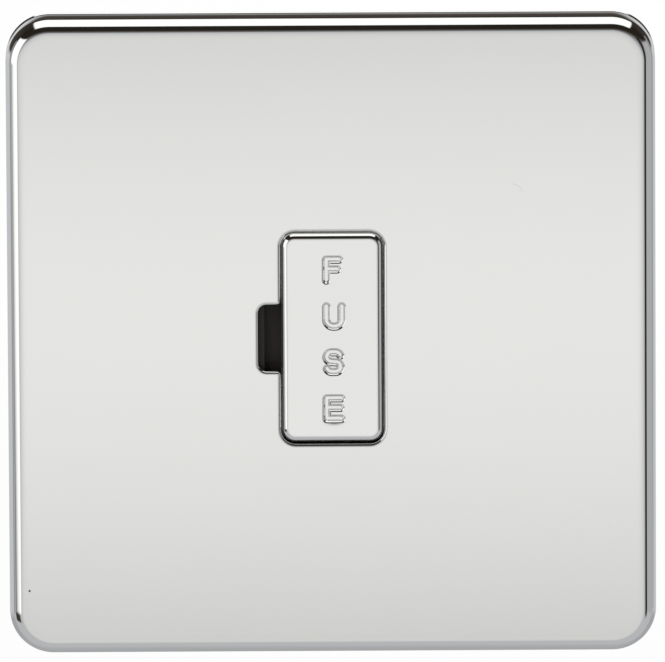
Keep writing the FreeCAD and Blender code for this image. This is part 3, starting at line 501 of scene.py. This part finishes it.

# %% [markdown]
# Low on its sides, where they go down into the joint, the cap has a dull, dark band painted into its colour.
# It is a painted shade that draws the black line of the joint. Along the top edge there is no such line, so
# there the band's start sinks below its end.

# %% Finish of the cap
CAP_SETBACK = 0.12 * MM
CAP_CENTRE = np.array([0.09, 0.10]) * MM
cap_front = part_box("fuse_carrier_cap")[0][1] + CAP_SETBACK
# The joint's band is a painted shade: its colour, and the depths and reaches where it darkens the cap.
JOINT_SHADE_COLOUR = (0.024, 0.021, 0.018)
JOINT_DEPTH = 0.22 * MM
JOINT_DEPTH_ABOVE = 0.75 * MM
JOINT_END = 0.60 * MM
JOINT_FADE = 0.08 * MM
JOINT_TOP = 13.5 * MM
TOP_FADE = 0.6 * MM
RIM_ACROSS = 4.8 * MM
RIM_UP = 12.8 * MM
RIM_FADE = 0.4 * MM


def joint_shade_mask(x, y, z):
    """Where the painted shade of the joint falls: 1 between two depths below the cap's face, and only near
    its rim, so that the letters stay bright.
    """
    start = (z - JOINT_TOP).band(0.0, TOP_FADE).fade(JOINT_DEPTH, JOINT_DEPTH_ABOVE)
    across = abs(x - CAP_CENTRE[0]).band(RIM_ACROSS, RIM_ACROSS + RIM_FADE)
    rim = across.at_least(abs(z).band(RIM_UP, RIM_UP + RIM_FADE))
    down = y - cap_front
    return (down - start).band(0.0, JOINT_FADE) * down.band(JOINT_END + JOINT_FADE, JOINT_END) * rim


def chrome_of_cap():
    """Plating with a painted shade in the joint, a dark, dull band that takes the metal away."""
    material, shader, place = new_finish("polished_chrome", Metallic=1.0)
    dull, rough = buffed(place)
    joint = joint_shade_mask(*place.parts())
    # Painted shade: the band darkens the colour and takes the metal away, where shade falls in the joint.
    feed(shader, "Base Color", joint.blend(plating_colour(dull), JOINT_SHADE_COLOUR))
    feed(shader, "Roughness", rough + joint * 0.4)
    feed(shader, "Metallic", 1.0 - joint * 0.95)
    return material


print("front of the cap at", round(cap_front / MM, 2), "mm")

# %% [markdown]
# The liner, the tray and the fuse housing are black moulding, spark-eroded to a fine satin. The rear
# housing is white urea, whose surface is smoother and shows faint flow clouds. A plain colour with one
# roughness looks like paint. A fine noise in the bump gives the eroded skin, and a slow one in the colour
# gives the clouds, from two nodes that need no picture.

# %% Moulded plastics
BLACK = ((0.020, 0.017, 0.014), (0.028, 0.024, 0.020))
WHITE = ((0.82, 0.81, 0.77), (0.86, 0.85, 0.82))


def moulding(name, colour, deep, grain_depth, rough, gloss):
    """Moulded plastic: a fine eroded grain with soft clouds in the colour."""
    material, shader, place = new_finish(name, Specular_IOR_Level=gloss)
    grain = noise(place, 7000.0)
    cloud = noise(place, 60.0, 3.0)
    feed(shader, "Base Color", cloud.blend(colour, deep))
    feed(shader, "Roughness", rough + (grain - 0.5) * 0.12)
    feed(shader, "Normal", relief(place, grain, grain_depth))
    return material


# %% [markdown]
# The yoke is sheet steel with bright zinc, which has a fine rolled grain and a bluish bloom. The straps are
# rolled brass, the terminals machined brass, and the screws zinc-plated steel turned on a lathe. Rolled
# grain is noise that is stretched along one axis by a Mapping node. So one function makes all the metals
# from a colour, a second colour for the bloom, and the way and size of the grain.

# %% Metals
EVEN = (1.0, 1.0, 1.0)
ALONG_X = (0.04, 1.0, 1.0)
ALONG_Z = (1.0, 1.0, 0.04)
METAL_GRAIN = 0.012 * MM
# Each metal: its colour, its bloom, its roughness, the way of its grain, and the grain's waves per metre.
METALS = {
    "zinc_steel": ((0.60, 0.61, 0.62), (0.66, 0.68, 0.72), 0.30, ALONG_X, 1500.0),
    "contact_brass": ((0.80, 0.62, 0.33), (0.74, 0.55, 0.28), 0.24, ALONG_Z, 2500.0),
    "terminal_brass": ((0.82, 0.66, 0.36), (0.76, 0.58, 0.29), 0.22, EVEN, 3000.0),
    "screw_steel": ((0.68, 0.67, 0.62), (0.72, 0.71, 0.70), 0.26, EVEN, 3500.0),
    "spring_steel": ((0.48, 0.49, 0.51), (0.40, 0.40, 0.44), 0.30, ALONG_Z, 2500.0),
    "fuse_cap_plating": ((0.74, 0.73, 0.69), (0.78, 0.77, 0.74), 0.20, EVEN, 3000.0),
}


def worked_metal(name, colour, bloom, rough, stretch, per_metre):
    """Metal with a grain that is drawn out along one way, and a bloom of a second colour."""
    material, shader, place = new_finish(name, Metallic=1.0)
    drawn = place.node("ShaderNodeMapping", None, {"Vector": place, "Scale": stretch})
    grain = noise(drawn, per_metre, 4.0)
    patches = noise(place, 220.0, 3.0)
    feed(shader, "Base Color", patches.band(0.35, 0.7).blend(colour, bloom))
    feed(shader, "Roughness", rough + (grain - 0.5) * 0.18 + (patches - 0.5) * 0.1)
    feed(shader, "Normal", relief(place, grain, METAL_GRAIN))
    return material


# %% [markdown]
# The fuse is a tube of pale ceramic under a thin glaze. The glaze is a coat on the shader, and the
# ceramic's own colour and roughness cloud a little under it.

# %% Ceramic
BISCUIT = ((0.86, 0.83, 0.76), (0.93, 0.91, 0.86))


def glazed_ceramic(name):
    """Pale ceramic under a thin glaze."""
    material, shader, place = new_finish(name, Coat_Weight=0.6, Coat_Roughness=0.12)
    cloud = noise(place, 300.0, 4.0)
    feed(shader, "Base Color", cloud.blend(*BISCUIT))
    feed(shader, "Roughness", 0.3 + cloud * 0.15)
    return material


# %% [markdown]
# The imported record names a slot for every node. Each slot gets its finish once, and each node takes the
# finish of its slot, so no node is left plain.

# %% One finish for each slot of the record
finishes = {
    "polished_chrome": chrome_of_cap(),
    "black_moulding": moulding("black_moulding", *BLACK, 0.012 * MM, 0.46, 0.25),
    "white_moulding": moulding("white_moulding", *WHITE, 0.006 * MM, 0.36, 0.45),
    "fuse_ceramic": glazed_ceramic("fuse_ceramic"),
}
for slot, row in METALS.items():
    finishes[slot] = worked_metal(slot, *row)
for row in frame["record"]["subparts"]:
    node = frame["nodes"][row["node"]]
    node.data.materials.clear()
    node.data.materials.append(finishes[row["material_slot"]])
print("finishes:", sorted(finishes))

# %% [markdown]
# ## Surfaces from rings
#
# The plate and the cap are the same kind of form: an outline, a rounded rectangle, carried along a profile
# that turns from the side to the face. A mirror shows every flat in a coarse mesh, so each is worked out
# here as a grid of rings. One direction of the grid goes round the outline, the other along the profile. A
# ring's points are where rays from the middle meet its outline, so rings of different shapes, such as the
# plate's edge and the window with its notch, still join point to point.

# %% Rounded rectangles by direction
TINY = 1e-9
CORNER_STEPS = 25


def rounded_box(directions, half_width, half_height, corner):
    """Where rays from the middle leave a rounded rectangle, and the way that its side faces there.

    A ray meets the upright side at half_width / cos, the level side at half_height / sin, or the circle of
    the corner, at the larger root of |t * ray - centre| = corner, whichever of these bounds it there.
    """
    ray = np.stack([np.cos(directions), np.sin(directions)], axis=1)
    size = np.abs(ray) + TINY
    upright = half_width / size[:, 0]
    level = half_height / size[:, 1]
    reach = np.minimum(upright, level)
    centre = np.array([half_width - corner, half_height - corner])
    along = size @ centre
    arc = along + np.sqrt(np.maximum(along ** 2 - centre @ centre + corner ** 2, 0.0))
    turned = (reach * size[:, 0] > centre[0]) & (reach * size[:, 1] > centre[1])
    reach = np.where(turned, arc, reach)
    points = ray * reach[:, None]
    facing = np.where((upright < level)[:, None], [1.0, 0.0], [0.0, 1.0]) * np.sign(ray)
    round_facing = (np.abs(points) - centre) * np.sign(ray) / max(corner, TINY)
    facing = np.where(turned[:, None], round_facing, facing)
    return points, facing


def corner_directions(half_width, half_height, corner):
    """Directions from the middle to points spread evenly over the four round corners of a rectangle."""
    turn = np.linspace(0.0, math.pi / 2, CORNER_STEPS)
    x = half_width - corner + corner * np.cos(turn)
    z = half_height - corner + corner * np.sin(turn)
    first = np.arctan2(z, x)
    return np.concatenate([first, math.pi - first, math.pi + first, -first])


def all_directions(steps, digits, *boxes):
    """Even steps round the middle, with more at the corners of each box. Near twins become one."""
    spread = [np.linspace(-math.pi, math.pi, steps, endpoint=False)]
    spread += [corner_directions(*box) for box in boxes]
    return np.unique(np.round((np.concatenate(spread) + math.pi) % math.tau - math.pi, digits))


# %% [markdown]
# A real edge is never one plain arc. The face leans over slowly before the tight round begins, which is
# what stretches the first reflection of a highlight. So a profile is a slow arc and a quick one that meet
# with the same slope. A bevel modifier gives the same round everywhere, and none of this.

# %% Profiles round an edge
LEAD_STEPS = 13
ROUND_STEPS = 37


def profile_arc(centre, depth, radius, start, end, count):
    """Part of a profile round an edge: rows of (inset from the outline, y, angle of the surface).

    The angle is 0 where the surface faces outwards and 90 degrees where it faces the front. The inset is
    centre - radius * cos(angle) and y is depth - radius * sin(angle).
    """
    angle = np.radians(np.linspace(start, end, count))
    return np.stack([centre - radius * np.cos(angle), depth - radius * np.sin(angle), angle], axis=1)


def soft_edge(radius, front, tilt, length):
    """A profile from a face to a side: a slow lead-in to a tilt over a length, then the edge's round.

    The lead-in is an arc of radius length / sin(tilt), which drops radius * (1 - cos(tilt)) below the face.
    The round starts there with the same slope, so its centre is deeper than the face by that drop and more.
    """
    lean = math.radians(tilt)
    lead = length / math.sin(lean)
    drop = lead * (1.0 - math.cos(lean))
    start = radius * (1.0 - math.sin(lean)) + length
    slow = profile_arc(start, front + lead, lead, 90.0, 90.0 - tilt, LEAD_STEPS)[:-1]
    depth = front + drop + radius * math.cos(lean)
    quick = profile_arc(radius, depth, radius, 90.0 - tilt, 0.0, ROUND_STEPS)
    return np.concatenate([slow, quick])


# %% [markdown]
# Every point is also given its exact normal, which makes the reflection run without a break. Blender would
# otherwise average the normals of the flats round a point, and a mirror shows the difference.

# %% From rings to a mesh
def ring(points, facing, depth, angle):
    """Points and normals of one ring: its outline at a depth, facing outwards turned to the front."""
    level = np.full(len(points), depth)
    places = np.stack([points[:, 0], level, points[:, 1]], axis=1)
    out = math.cos(angle)
    front = np.full(len(points), -math.sin(angle))
    normals = np.stack([facing[:, 0] * out, front, facing[:, 1] * out], axis=1)
    return places, normals


def joined(rings):
    """The points and the normals of several rings, one ring after the other."""
    return [np.concatenate(rows) for rows in zip(*rings)]


def ring_quads(rows, columns, closed):
    """Faces of a grid closed round each ring, and from the last ring to the first if closed."""
    row = np.arange(rows if closed else rows - 1)[:, None]
    column = np.arange(columns)[None, :]
    after_row = (row + 1) % rows
    after_column = (column + 1) % columns
    here = row * columns + column
    beside = row * columns + after_column
    across = after_row * columns + after_column
    above = after_row * columns + column
    return np.stack(np.broadcast_arrays(here, above, across, beside), axis=-1).reshape(-1, 4)


def mesh_object(name, points, faces, normals, material, body):
    """A smooth mesh with its exact normals, riding on a body of the frame."""
    mesh = bpy.data.meshes.new(name)
    mesh.from_pydata(points.tolist(), [], faces)
    mesh.polygons.foreach_set("use_smooth", np.ones(len(mesh.polygons), bool))
    mesh.normals_split_custom_set_from_vertices(normals.tolist())
    mesh.materials.append(material)
    piece = bpy.data.objects.new(name, mesh)
    bpy.context.scene.collection.objects.link(piece)
    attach(piece, body)
    print(name, "has", len(points), "points and", len(faces), "faces")
    return piece


# %% [markdown]
# ## The front plate
#
# The real plate is a square of sheet pressed over a block: a flat face, a shoulder of two millimetres, and
# a drawn side that meets the wall. It could be a box with a bevel and two cuts, but the cuts would leave
# long thin triangles across a mirror. The ring grid has none.

# %% Outline of the plate
PLATE_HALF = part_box("front_plate")[1][0]
PLATE_CORNER = 6.0 * MM
SHEET = 0.9 * MM


def plate_ring(directions, inset, depth, angle):
    """A ring of the plate's own outline, moved in by an inset."""
    half = PLATE_HALF - inset
    points, facing = rounded_box(directions, half, half, max(PLATE_CORNER - inset, SHEET))
    return ring(points, facing, depth, angle)


print("the plate is", round(2 * PLATE_HALF / MM, 1), "mm wide")

# %% [markdown]
# The window and the notch beside it are punched through in one go, and buffing leaves their front edges
# slightly round. A hair's breadth is left between the window and the cap. The two outlines are blended
# where they meet, because a punch has no sharp inner corner and a sharp one would tear the rings.

# %% The window and its notch
CAP_SHORTER = 0.12 * MM
cap_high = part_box("fuse_carrier_cap")[1]
CAP_HALF = np.array([cap_high[0], cap_high[2] - CAP_SHORTER])
WINDOW_GAP = np.array([0.04, 0.15]) * MM
WINDOW_HALF = CAP_HALF + WINDOW_GAP
WINDOW_CENTRE = np.array([0.09, -0.04]) * MM
WINDOW_CORNER = 2.0 * MM
NOTCH_LEFT = 10.0 * MM
NOTCH_HALF = 4.56 * MM
NOTCH_CORNER = 1.1 * MM
NOTCH_MOUTH = 0.5 * MM


def window_ring(directions, outset, depth, angle):
    """A ring of the window with its notch, grown by an outset.

    In each direction it has the further of two outlines, with the corner between them rounded by a smooth
    maximum: half of a + b + sqrt((a - b) squared + softness squared). It faces across its own tangent.
    """
    window, _ = rounded_box(directions, *(WINDOW_HALF + outset), WINDOW_CORNER + outset)
    notch, _ = rounded_box(directions, NOTCH_LEFT + outset, NOTCH_HALF + outset, NOTCH_CORNER + outset)
    first = np.hypot(*window.T)
    second = np.hypot(*notch.T) * (np.cos(directions) < 0)
    soft = max(NOTCH_MOUTH - outset, TINY)
    reach = (first + second + np.hypot(first - second, soft)) / 2
    points = reach[:, None] * np.stack([np.cos(directions), np.sin(directions)], axis=1)
    run = np.roll(points, -1, axis=0) - np.roll(points, 1, axis=0)
    run /= np.hypot(*run.T)[:, None]
    facing = np.stack([-run[:, 1], run[:, 0]], axis=1)
    return ring(points + WINDOW_CENTRE, facing, depth, angle)


print("the window is", np.round(2 * WINDOW_HALF / MM, 2), "mm")

# %% [markdown]
# Seen along the wall, the drawn side isn't straight. Past the shoulder it draws in by a tenth of a
# millimetre, and the edge where the sheet was cut flares out again as a small lip. In the photograph that
# lip is the thin line along the plate's outer edge. A straight side would mirror one even grey there.

# %% The drawn side and its lip
WAIST = 0.115 * MM
LIP_TILT = 20.0
LIP_ROOT = 0.15 * MM
LIP_EDGE = 0.06 * MM


def side_and_lip(front):
    """The profile from the shoulder's end to the rim: a long shallow waist, a small root and the flare.

    The waist is an arc that draws in by w over its span s, so it leans by 2 * atan(w / s) at its end. The
    flare is straight, between the tangent points of the root's arc and of the cut edge's arc.
    """
    lip = math.radians(LIP_TILT)
    rim_start = LIP_EDGE * (1.0 - math.cos(lip))
    root_end = WAIST - LIP_ROOT * (1.0 - math.cos(lip))
    flare = (root_end - rim_start) / math.sin(lip)
    root_depth = -LIP_EDGE * (1.0 + math.sin(lip)) - flare * math.cos(lip) - LIP_ROOT * math.sin(lip)
    span = root_depth - front
    lean = 2.0 * math.atan(WAIST / span)
    radius = span / math.sin(lean)
    turned = -math.degrees(lean)
    waist = profile_arc(radius, front, radius, 0.0, turned, count=9)
    root = profile_arc(WAIST - LIP_ROOT, root_depth, -LIP_ROOT, turned, LIP_TILT, count=7)
    rim = profile_arc(LIP_EDGE, -LIP_EDGE, LIP_EDGE, LIP_TILT, -90.0, count=7)
    return np.concatenate([waist[1:], root[1:], rim])


# %% [markdown]
# The rings go from the window's edge out over the face and round to the rim, then back along the inside of
# the sheet, and the last joins the first. So the plate is one closed skin with a real thickness.

# %% The plate as one skin
SHOULDER = 2.0 * MM
LEAD_TILT = 9.0
PLATE_LEAD = 1.3 * MM
WINDOW_EDGE = 0.38 * MM
WINDOW_TILT = 14.0
WINDOW_LEAD = 0.38 * MM
WINDOW_BACK_EDGE = 0.1 * MM
RIM_EDGE = 0.12 * MM
STEPS_ROUND = 480


def make_front_plate():
    """Rings from the window's edge over the face, shoulder, side and rim, and back inside the sheet."""
    outline = (PLATE_HALF, PLATE_HALF, PLATE_CORNER)
    window, notch = (*WINDOW_HALF, WINDOW_CORNER), (NOTCH_LEFT, NOTCH_HALF, NOTCH_CORNER)
    directions = all_directions(STEPS_ROUND, 5, outline, window, notch)
    back = plate_front + SHEET
    back_edge = [(WINDOW_BACK_EDGE, back, -math.pi / 2), (0.0, back - WINDOW_BACK_EDGE, 0.0)]
    edge = soft_edge(WINDOW_EDGE, plate_front, WINDOW_TILT, WINDOW_LEAD)[::-1][::2]
    shoulder = soft_edge(SHOULDER, plate_front, LEAD_TILT, PLATE_LEAD)
    side = side_and_lip(shoulder[-1, 1])
    rim = profile_arc(SHEET - RIM_EDGE, -RIM_EDGE, RIM_EDGE, -90.0, -180.0, count=5)
    bend = profile_arc(SHOULDER, plate_front + SHOULDER, SHOULDER - SHEET, 0.0, 90.0, count=13)
    bend[:, 2] += math.pi
    rings = [window_ring(directions, *row) for row in [*back_edge, *edge]]
    rings += [plate_ring(directions, *row) for row in np.concatenate([shoulder, side, rim, bend])]
    points, normals = joined(rings)
    faces = ring_quads(len(rings), len(directions), True).tolist()
    piece = mesh_object(
        "plate_shell", points, faces, normals, plate_chrome, "front_cover"
    )
    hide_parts("front_plate")


make_front_plate()

# %% [markdown]
# ## The word on the cap
#
# The carrier is marked with the plain word that every such unit has, FUSE, one letter under the next. The
# strokes are pressed into the metal: a flat floor, with walls that rise steeply and ease out into the face.
# That is why each stroke shows a grey wall on its left and a bright one on its right, the reverse of the
# cap's own shoulders. A text object could be cut out, but its edges would be sharp. Here a letter is only
# the middle lines of its strokes, and the metal's depth follows from how far a point is from the nearest
# line, so strokes that meet flow together as the press makes them.

# %% Middle lines of the letters
LETTER_LEFT = -0.70 * MM
# Each letter: its top, its width and its height between stroke middles, in millimetres.
LETTERS = {
    "F": (10.98, 1.74, 2.89),
    "U": (4.50, 2.08, 2.80),
    "S": (-1.87, 1.89, 2.73),
    "E": (-8.28, 1.95, 2.85),
}
MIDDLE_ARM = {"F": 0.84, "E": 0.93}


def bent(centre, radius, start, end, count=12):
    """Points along an arc, with angles in degrees."""
    angle = np.radians(np.linspace(start, end, count))
    return [(centre[0] + radius * math.cos(a), centre[1] + radius * math.sin(a)) for a in angle]


def letter_strokes(letter, wide, tall):
    """The middle lines of a letter's strokes, from its lower left corner (0, 0) to (wide, tall)."""
    bowl, middle, curl = wide * 0.44, tall * 0.53, tall / 4
    if letter == "U":
        left_bowl = bent((bowl, bowl), bowl, 180.0, 270.0)
        right_bowl = bent((wide - bowl, bowl), bowl, 270.0, 360.0)
        return [[(0, tall), *left_bowl, *right_bowl, (wide, tall)]]
    if letter in MIDDLE_ARM:
        foot = [(0, 0)] if letter == "F" else [(wide, 0), (0, 0)]
        return [[*foot, (0, tall), (wide, tall)], [(0, middle), (wide * MIDDLE_ARM[letter], middle)]]
    near, far, high = curl, wide - curl, tall - curl
    upper = bent((far, high), curl, 20.0, 90.0) + bent((near, high), curl, 90.0, 250.0)
    lower = bent((far, curl), curl, 70.0, -90.0) + bent((near, curl), curl, 270.0, 200.0)
    return [upper + lower]


print("letters from", LETTERS["F"][0], "down to", round(LETTERS["E"][0] - LETTERS["E"][2], 2), "mm")

# %% [markdown]
# Under the last letter the press sank in a little more, which shows in the photograph as a soft shade on
# the face. It is a smooth dent, added to the depth of the strokes, because a mask on the colour would stay
# put as the light moves and a dent doesn't.

# %% How deep the press went
STROKE_FLOOR = 0.20 * MM
STROKE_WALL = 0.43 * MM
STROKE_DEPTH = 0.36 * MM
DENT = np.array([0.30, -11.25]) * MM
DENT_ACROSS = 1.5 * MM
DENT_BELOW = 0.65 * MM
DENT_ABOVE = 2.6 * MM
DENT_DEPTH = 0.15 * MM


def distance_to_lines(x, z, lines):
    """Distance from each point to the nearest of several broken lines.

    For each straight run the nearest point is start + t * run, with t the point's share along it, kept
    between 0 and 1.
    """
    nearest = np.full(x.shape, np.inf)
    for line in lines:
        for (x0, z0), (x1, z1) in zip(line, line[1:]):
            run_x, run_z = x1 - x0, z1 - z0
            share = ((x - x0) * run_x + (z - z0) * run_z) / max(run_x ** 2 + run_z ** 2, TINY ** 2)
            share = np.clip(share, 0.0, 1.0)
            away = np.hypot(x - x0 - share * run_x, z - z0 - share * run_z)
            nearest = np.minimum(nearest, away)
    return nearest


def stroke_depth(x, z):
    """How far the face is pressed in: depth * (1 - t) squared, with t 0 at the floor and 1 at the lip.

    The dent adds depth * exp(-(x / across) squared - (z / reach) squared), with a shorter reach below its
    middle than above it.
    """
    away = np.full(x.shape, np.inf)
    for letter, (top, wide, tall) in LETTERS.items():
        lines = letter_strokes(letter, wide * MM, tall * MM)
        away = np.minimum(away, distance_to_lines(x - LETTER_LEFT, z - (top - tall) * MM, lines))
    t = np.clip((away - STROKE_FLOOR) / STROKE_WALL, 0.0, 1.0)
    over = (x - DENT[0]) / DENT_ACROSS
    up = (z - DENT[1]) / np.where(z < DENT[1], DENT_BELOW, DENT_ABOVE)
    return STROKE_DEPTH * (1.0 - t) ** 2 + DENT_DEPTH * np.exp(-over ** 2 - up ** 2)


# %% [markdown]
# ## The carrier's cap
#
# The cap is a shallow lid of the same polish, standing a little proud of the plate. Its outside is rings,
# as on the plate. Its face can't be, because rings are far too coarse for letters. It is a grid whose lines
# lie close together only where a letter is.

# %% The face with the word in it
FACE_HALF = np.array([4.6, 12.9]) * MM
FINE_STEP = 0.045 * MM
COARSE_STEP = 0.6 * MM


def spaced(low, high, stretches):
    """Grid lines from low to high: close together in the given stretches and far apart between them."""
    edges = [low, *(edge for stretch in stretches for edge in stretch), high]
    lines = []
    for i, (start, end) in enumerate(zip(edges, edges[1:])):
        step = FINE_STEP if i % 2 else COARSE_STEP
        lines.append(np.linspace(start, end, math.ceil((end - start) / step) + 1)[:-1])
    return np.append(np.concatenate(lines), high)


def face_grid(front):
    """The middle of the cap's face with the word pressed in: points, normals, faces and border.

    The surface is y = front + depth(x, z). Its normal is (slope along x, -1, slope along z), made one long.
    """
    reach = STROKE_FLOOR + STROKE_WALL + FINE_STEP
    widest = max(wide for _, wide, _ in LETTERS.values()) * MM
    across = spaced(-FACE_HALF[0], FACE_HALF[0], [(LETTER_LEFT - reach, LETTER_LEFT + widest + reach)])
    letters = [((top - tall) * MM - reach, top * MM + reach) for top, _, tall in sorted(LETTERS.values())]
    x, z = np.meshgrid(across, spaced(-FACE_HALF[1], FACE_HALF[1], letters))
    hair = 0.1 * FINE_STEP
    side_slope = (stroke_depth(x + hair, z) - stroke_depth(x - hair, z)) / (2 * hair)
    up_slope = (stroke_depth(x, z + hair) - stroke_depth(x, z - hair)) / (2 * hair)
    points = np.stack([x, front + stroke_depth(x, z), z], axis=-1).reshape(-1, 3)
    normals = np.stack([side_slope, -np.ones(x.shape), up_slope], axis=-1).reshape(-1, 3)
    normals /= np.linalg.norm(normals, axis=1)[:, None]
    number = np.arange(x.size).reshape(x.shape)
    corners = [number[:-1, :-1], number[:-1, 1:], number[1:, 1:], number[1:, :-1]]
    border = np.concatenate([number[0, :-1], number[:-1, -1], number[-1, :0:-1], number[:0:-1, 0]])
    return points, normals, np.stack(corners, axis=-1).reshape(-1, 4), border


# %% [markdown]
# The grid's border is a rectangle with its own spacing, and the first ring round it has another. A zip of
# triangles closes the strip between them, as a tailor eases a long edge to a short one.

# %% A zip between two rings
def zip_rings(outer, outer_turn, inner, inner_turn):
    """Triangles between two closed rings of points, each in rising order of direction from the middle.

    Each edge of one ring is joined to the point of the other ring that comes last before the edge's end.
    """
    outer_end = np.append(outer_turn[1:], outer_turn[0] + math.tau)
    inner_end = np.append(inner_turn[1:], inner_turn[0] + math.tau)
    from_inner = inner[(np.searchsorted(inner_turn, outer_end, "right") - 1) % len(inner)]
    from_inner[-1] = inner[(np.searchsorted(inner_turn, outer_turn[0], "right") - 1) % len(inner)]
    from_outer = outer[(np.searchsorted(outer_turn, inner_end, "right") - 1) % len(outer)]
    from_outer[-1] = outer[(np.searchsorted(outer_turn, inner_turn[0], "right") - 1) % len(outer)]
    first = np.stack([outer, np.roll(outer, -1), from_inner], axis=1)
    second = np.stack([np.roll(inner, -1), inner, from_outer], axis=1)
    return np.concatenate([first, second])


# %% [markdown]
# The whole cap is then one closed skin: the face, the zip, the shoulder, the skirt that goes down into the
# joint, and the inside up to the middle of its floor.

# %% The cap as one skin
CAP_CORNER = 1.9 * MM
CAP_INNER_CORNER = 0.2 * MM
CAP_SHOULDER = 0.96 * MM
CAP_LEAD = 0.35 * MM
CAP_FRONT_WALL = 1.0 * MM
CAP_SKIRT_WALL = 0.8 * MM
CAP_RIM_EDGE = 0.1 * MM


def cap_ring(directions, inset, depth, angle):
    """A ring of the cap's own outline, moved in by an inset."""
    corner = max(CAP_CORNER - inset, CAP_INNER_CORNER)
    points, facing = rounded_box(directions, *(CAP_HALF - inset), corner)
    return ring(points + CAP_CENTRE, facing, depth, angle)


def make_cap():
    """Rings from the face's border over the shoulder and down the skirt, and back inside to the middle."""
    front, rear = cap_front, cap_high[1]
    directions = all_directions(STEPS_ROUND // 2, 6, (*CAP_HALF, CAP_CORNER))
    shoulder = soft_edge(CAP_SHOULDER, front, LEAD_TILT, CAP_LEAD)
    edge, wall = CAP_RIM_EDGE, CAP_SKIRT_WALL
    rim_out = profile_arc(edge, rear - edge, edge, 0.0, -90.0, count=4)
    rim_in = profile_arc(wall - edge, rear - edge, edge, -90.0, -180.0, count=4)
    floor = front + CAP_FRONT_WALL
    inside = [(wall, floor + edge, -math.pi), (wall + edge, floor, -math.pi / 2)]
    rings = [cap_ring(directions, *row) for row in np.concatenate([shoulder, rim_out, rim_in, inside])]
    face_points, face_normals, face_faces, border = face_grid(front)
    middle_point = ([[0.0, floor, 0.0]], [[0.0, 1.0, 0.0]])
    points, normals = joined([*rings, (face_points, face_normals), middle_point])
    count = len(directions)
    shift = count * len(rings)
    turn = np.arctan2(face_points[border, 2] - CAP_CENTRE[1], face_points[border, 0] - CAP_CENTRE[0])
    order = np.argsort(turn)
    strip = zip_rings(np.arange(count), directions, border[order] + shift, turn[order])
    last = np.arange(count) + shift - count
    middle = np.stack([np.full(count, len(points) - 1), np.roll(last, -1), last], axis=1)
    faces = ring_quads(len(rings), count, False).tolist() + (face_faces + shift).tolist()
    faces += strip.tolist() + middle.tolist()
    material = finishes["polished_chrome"]
    piece = mesh_object(
        "carrier_cap", points, faces, normals, material, "fuse_carrier"
    )
    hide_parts("fuse_carrier_cap")


make_cap()
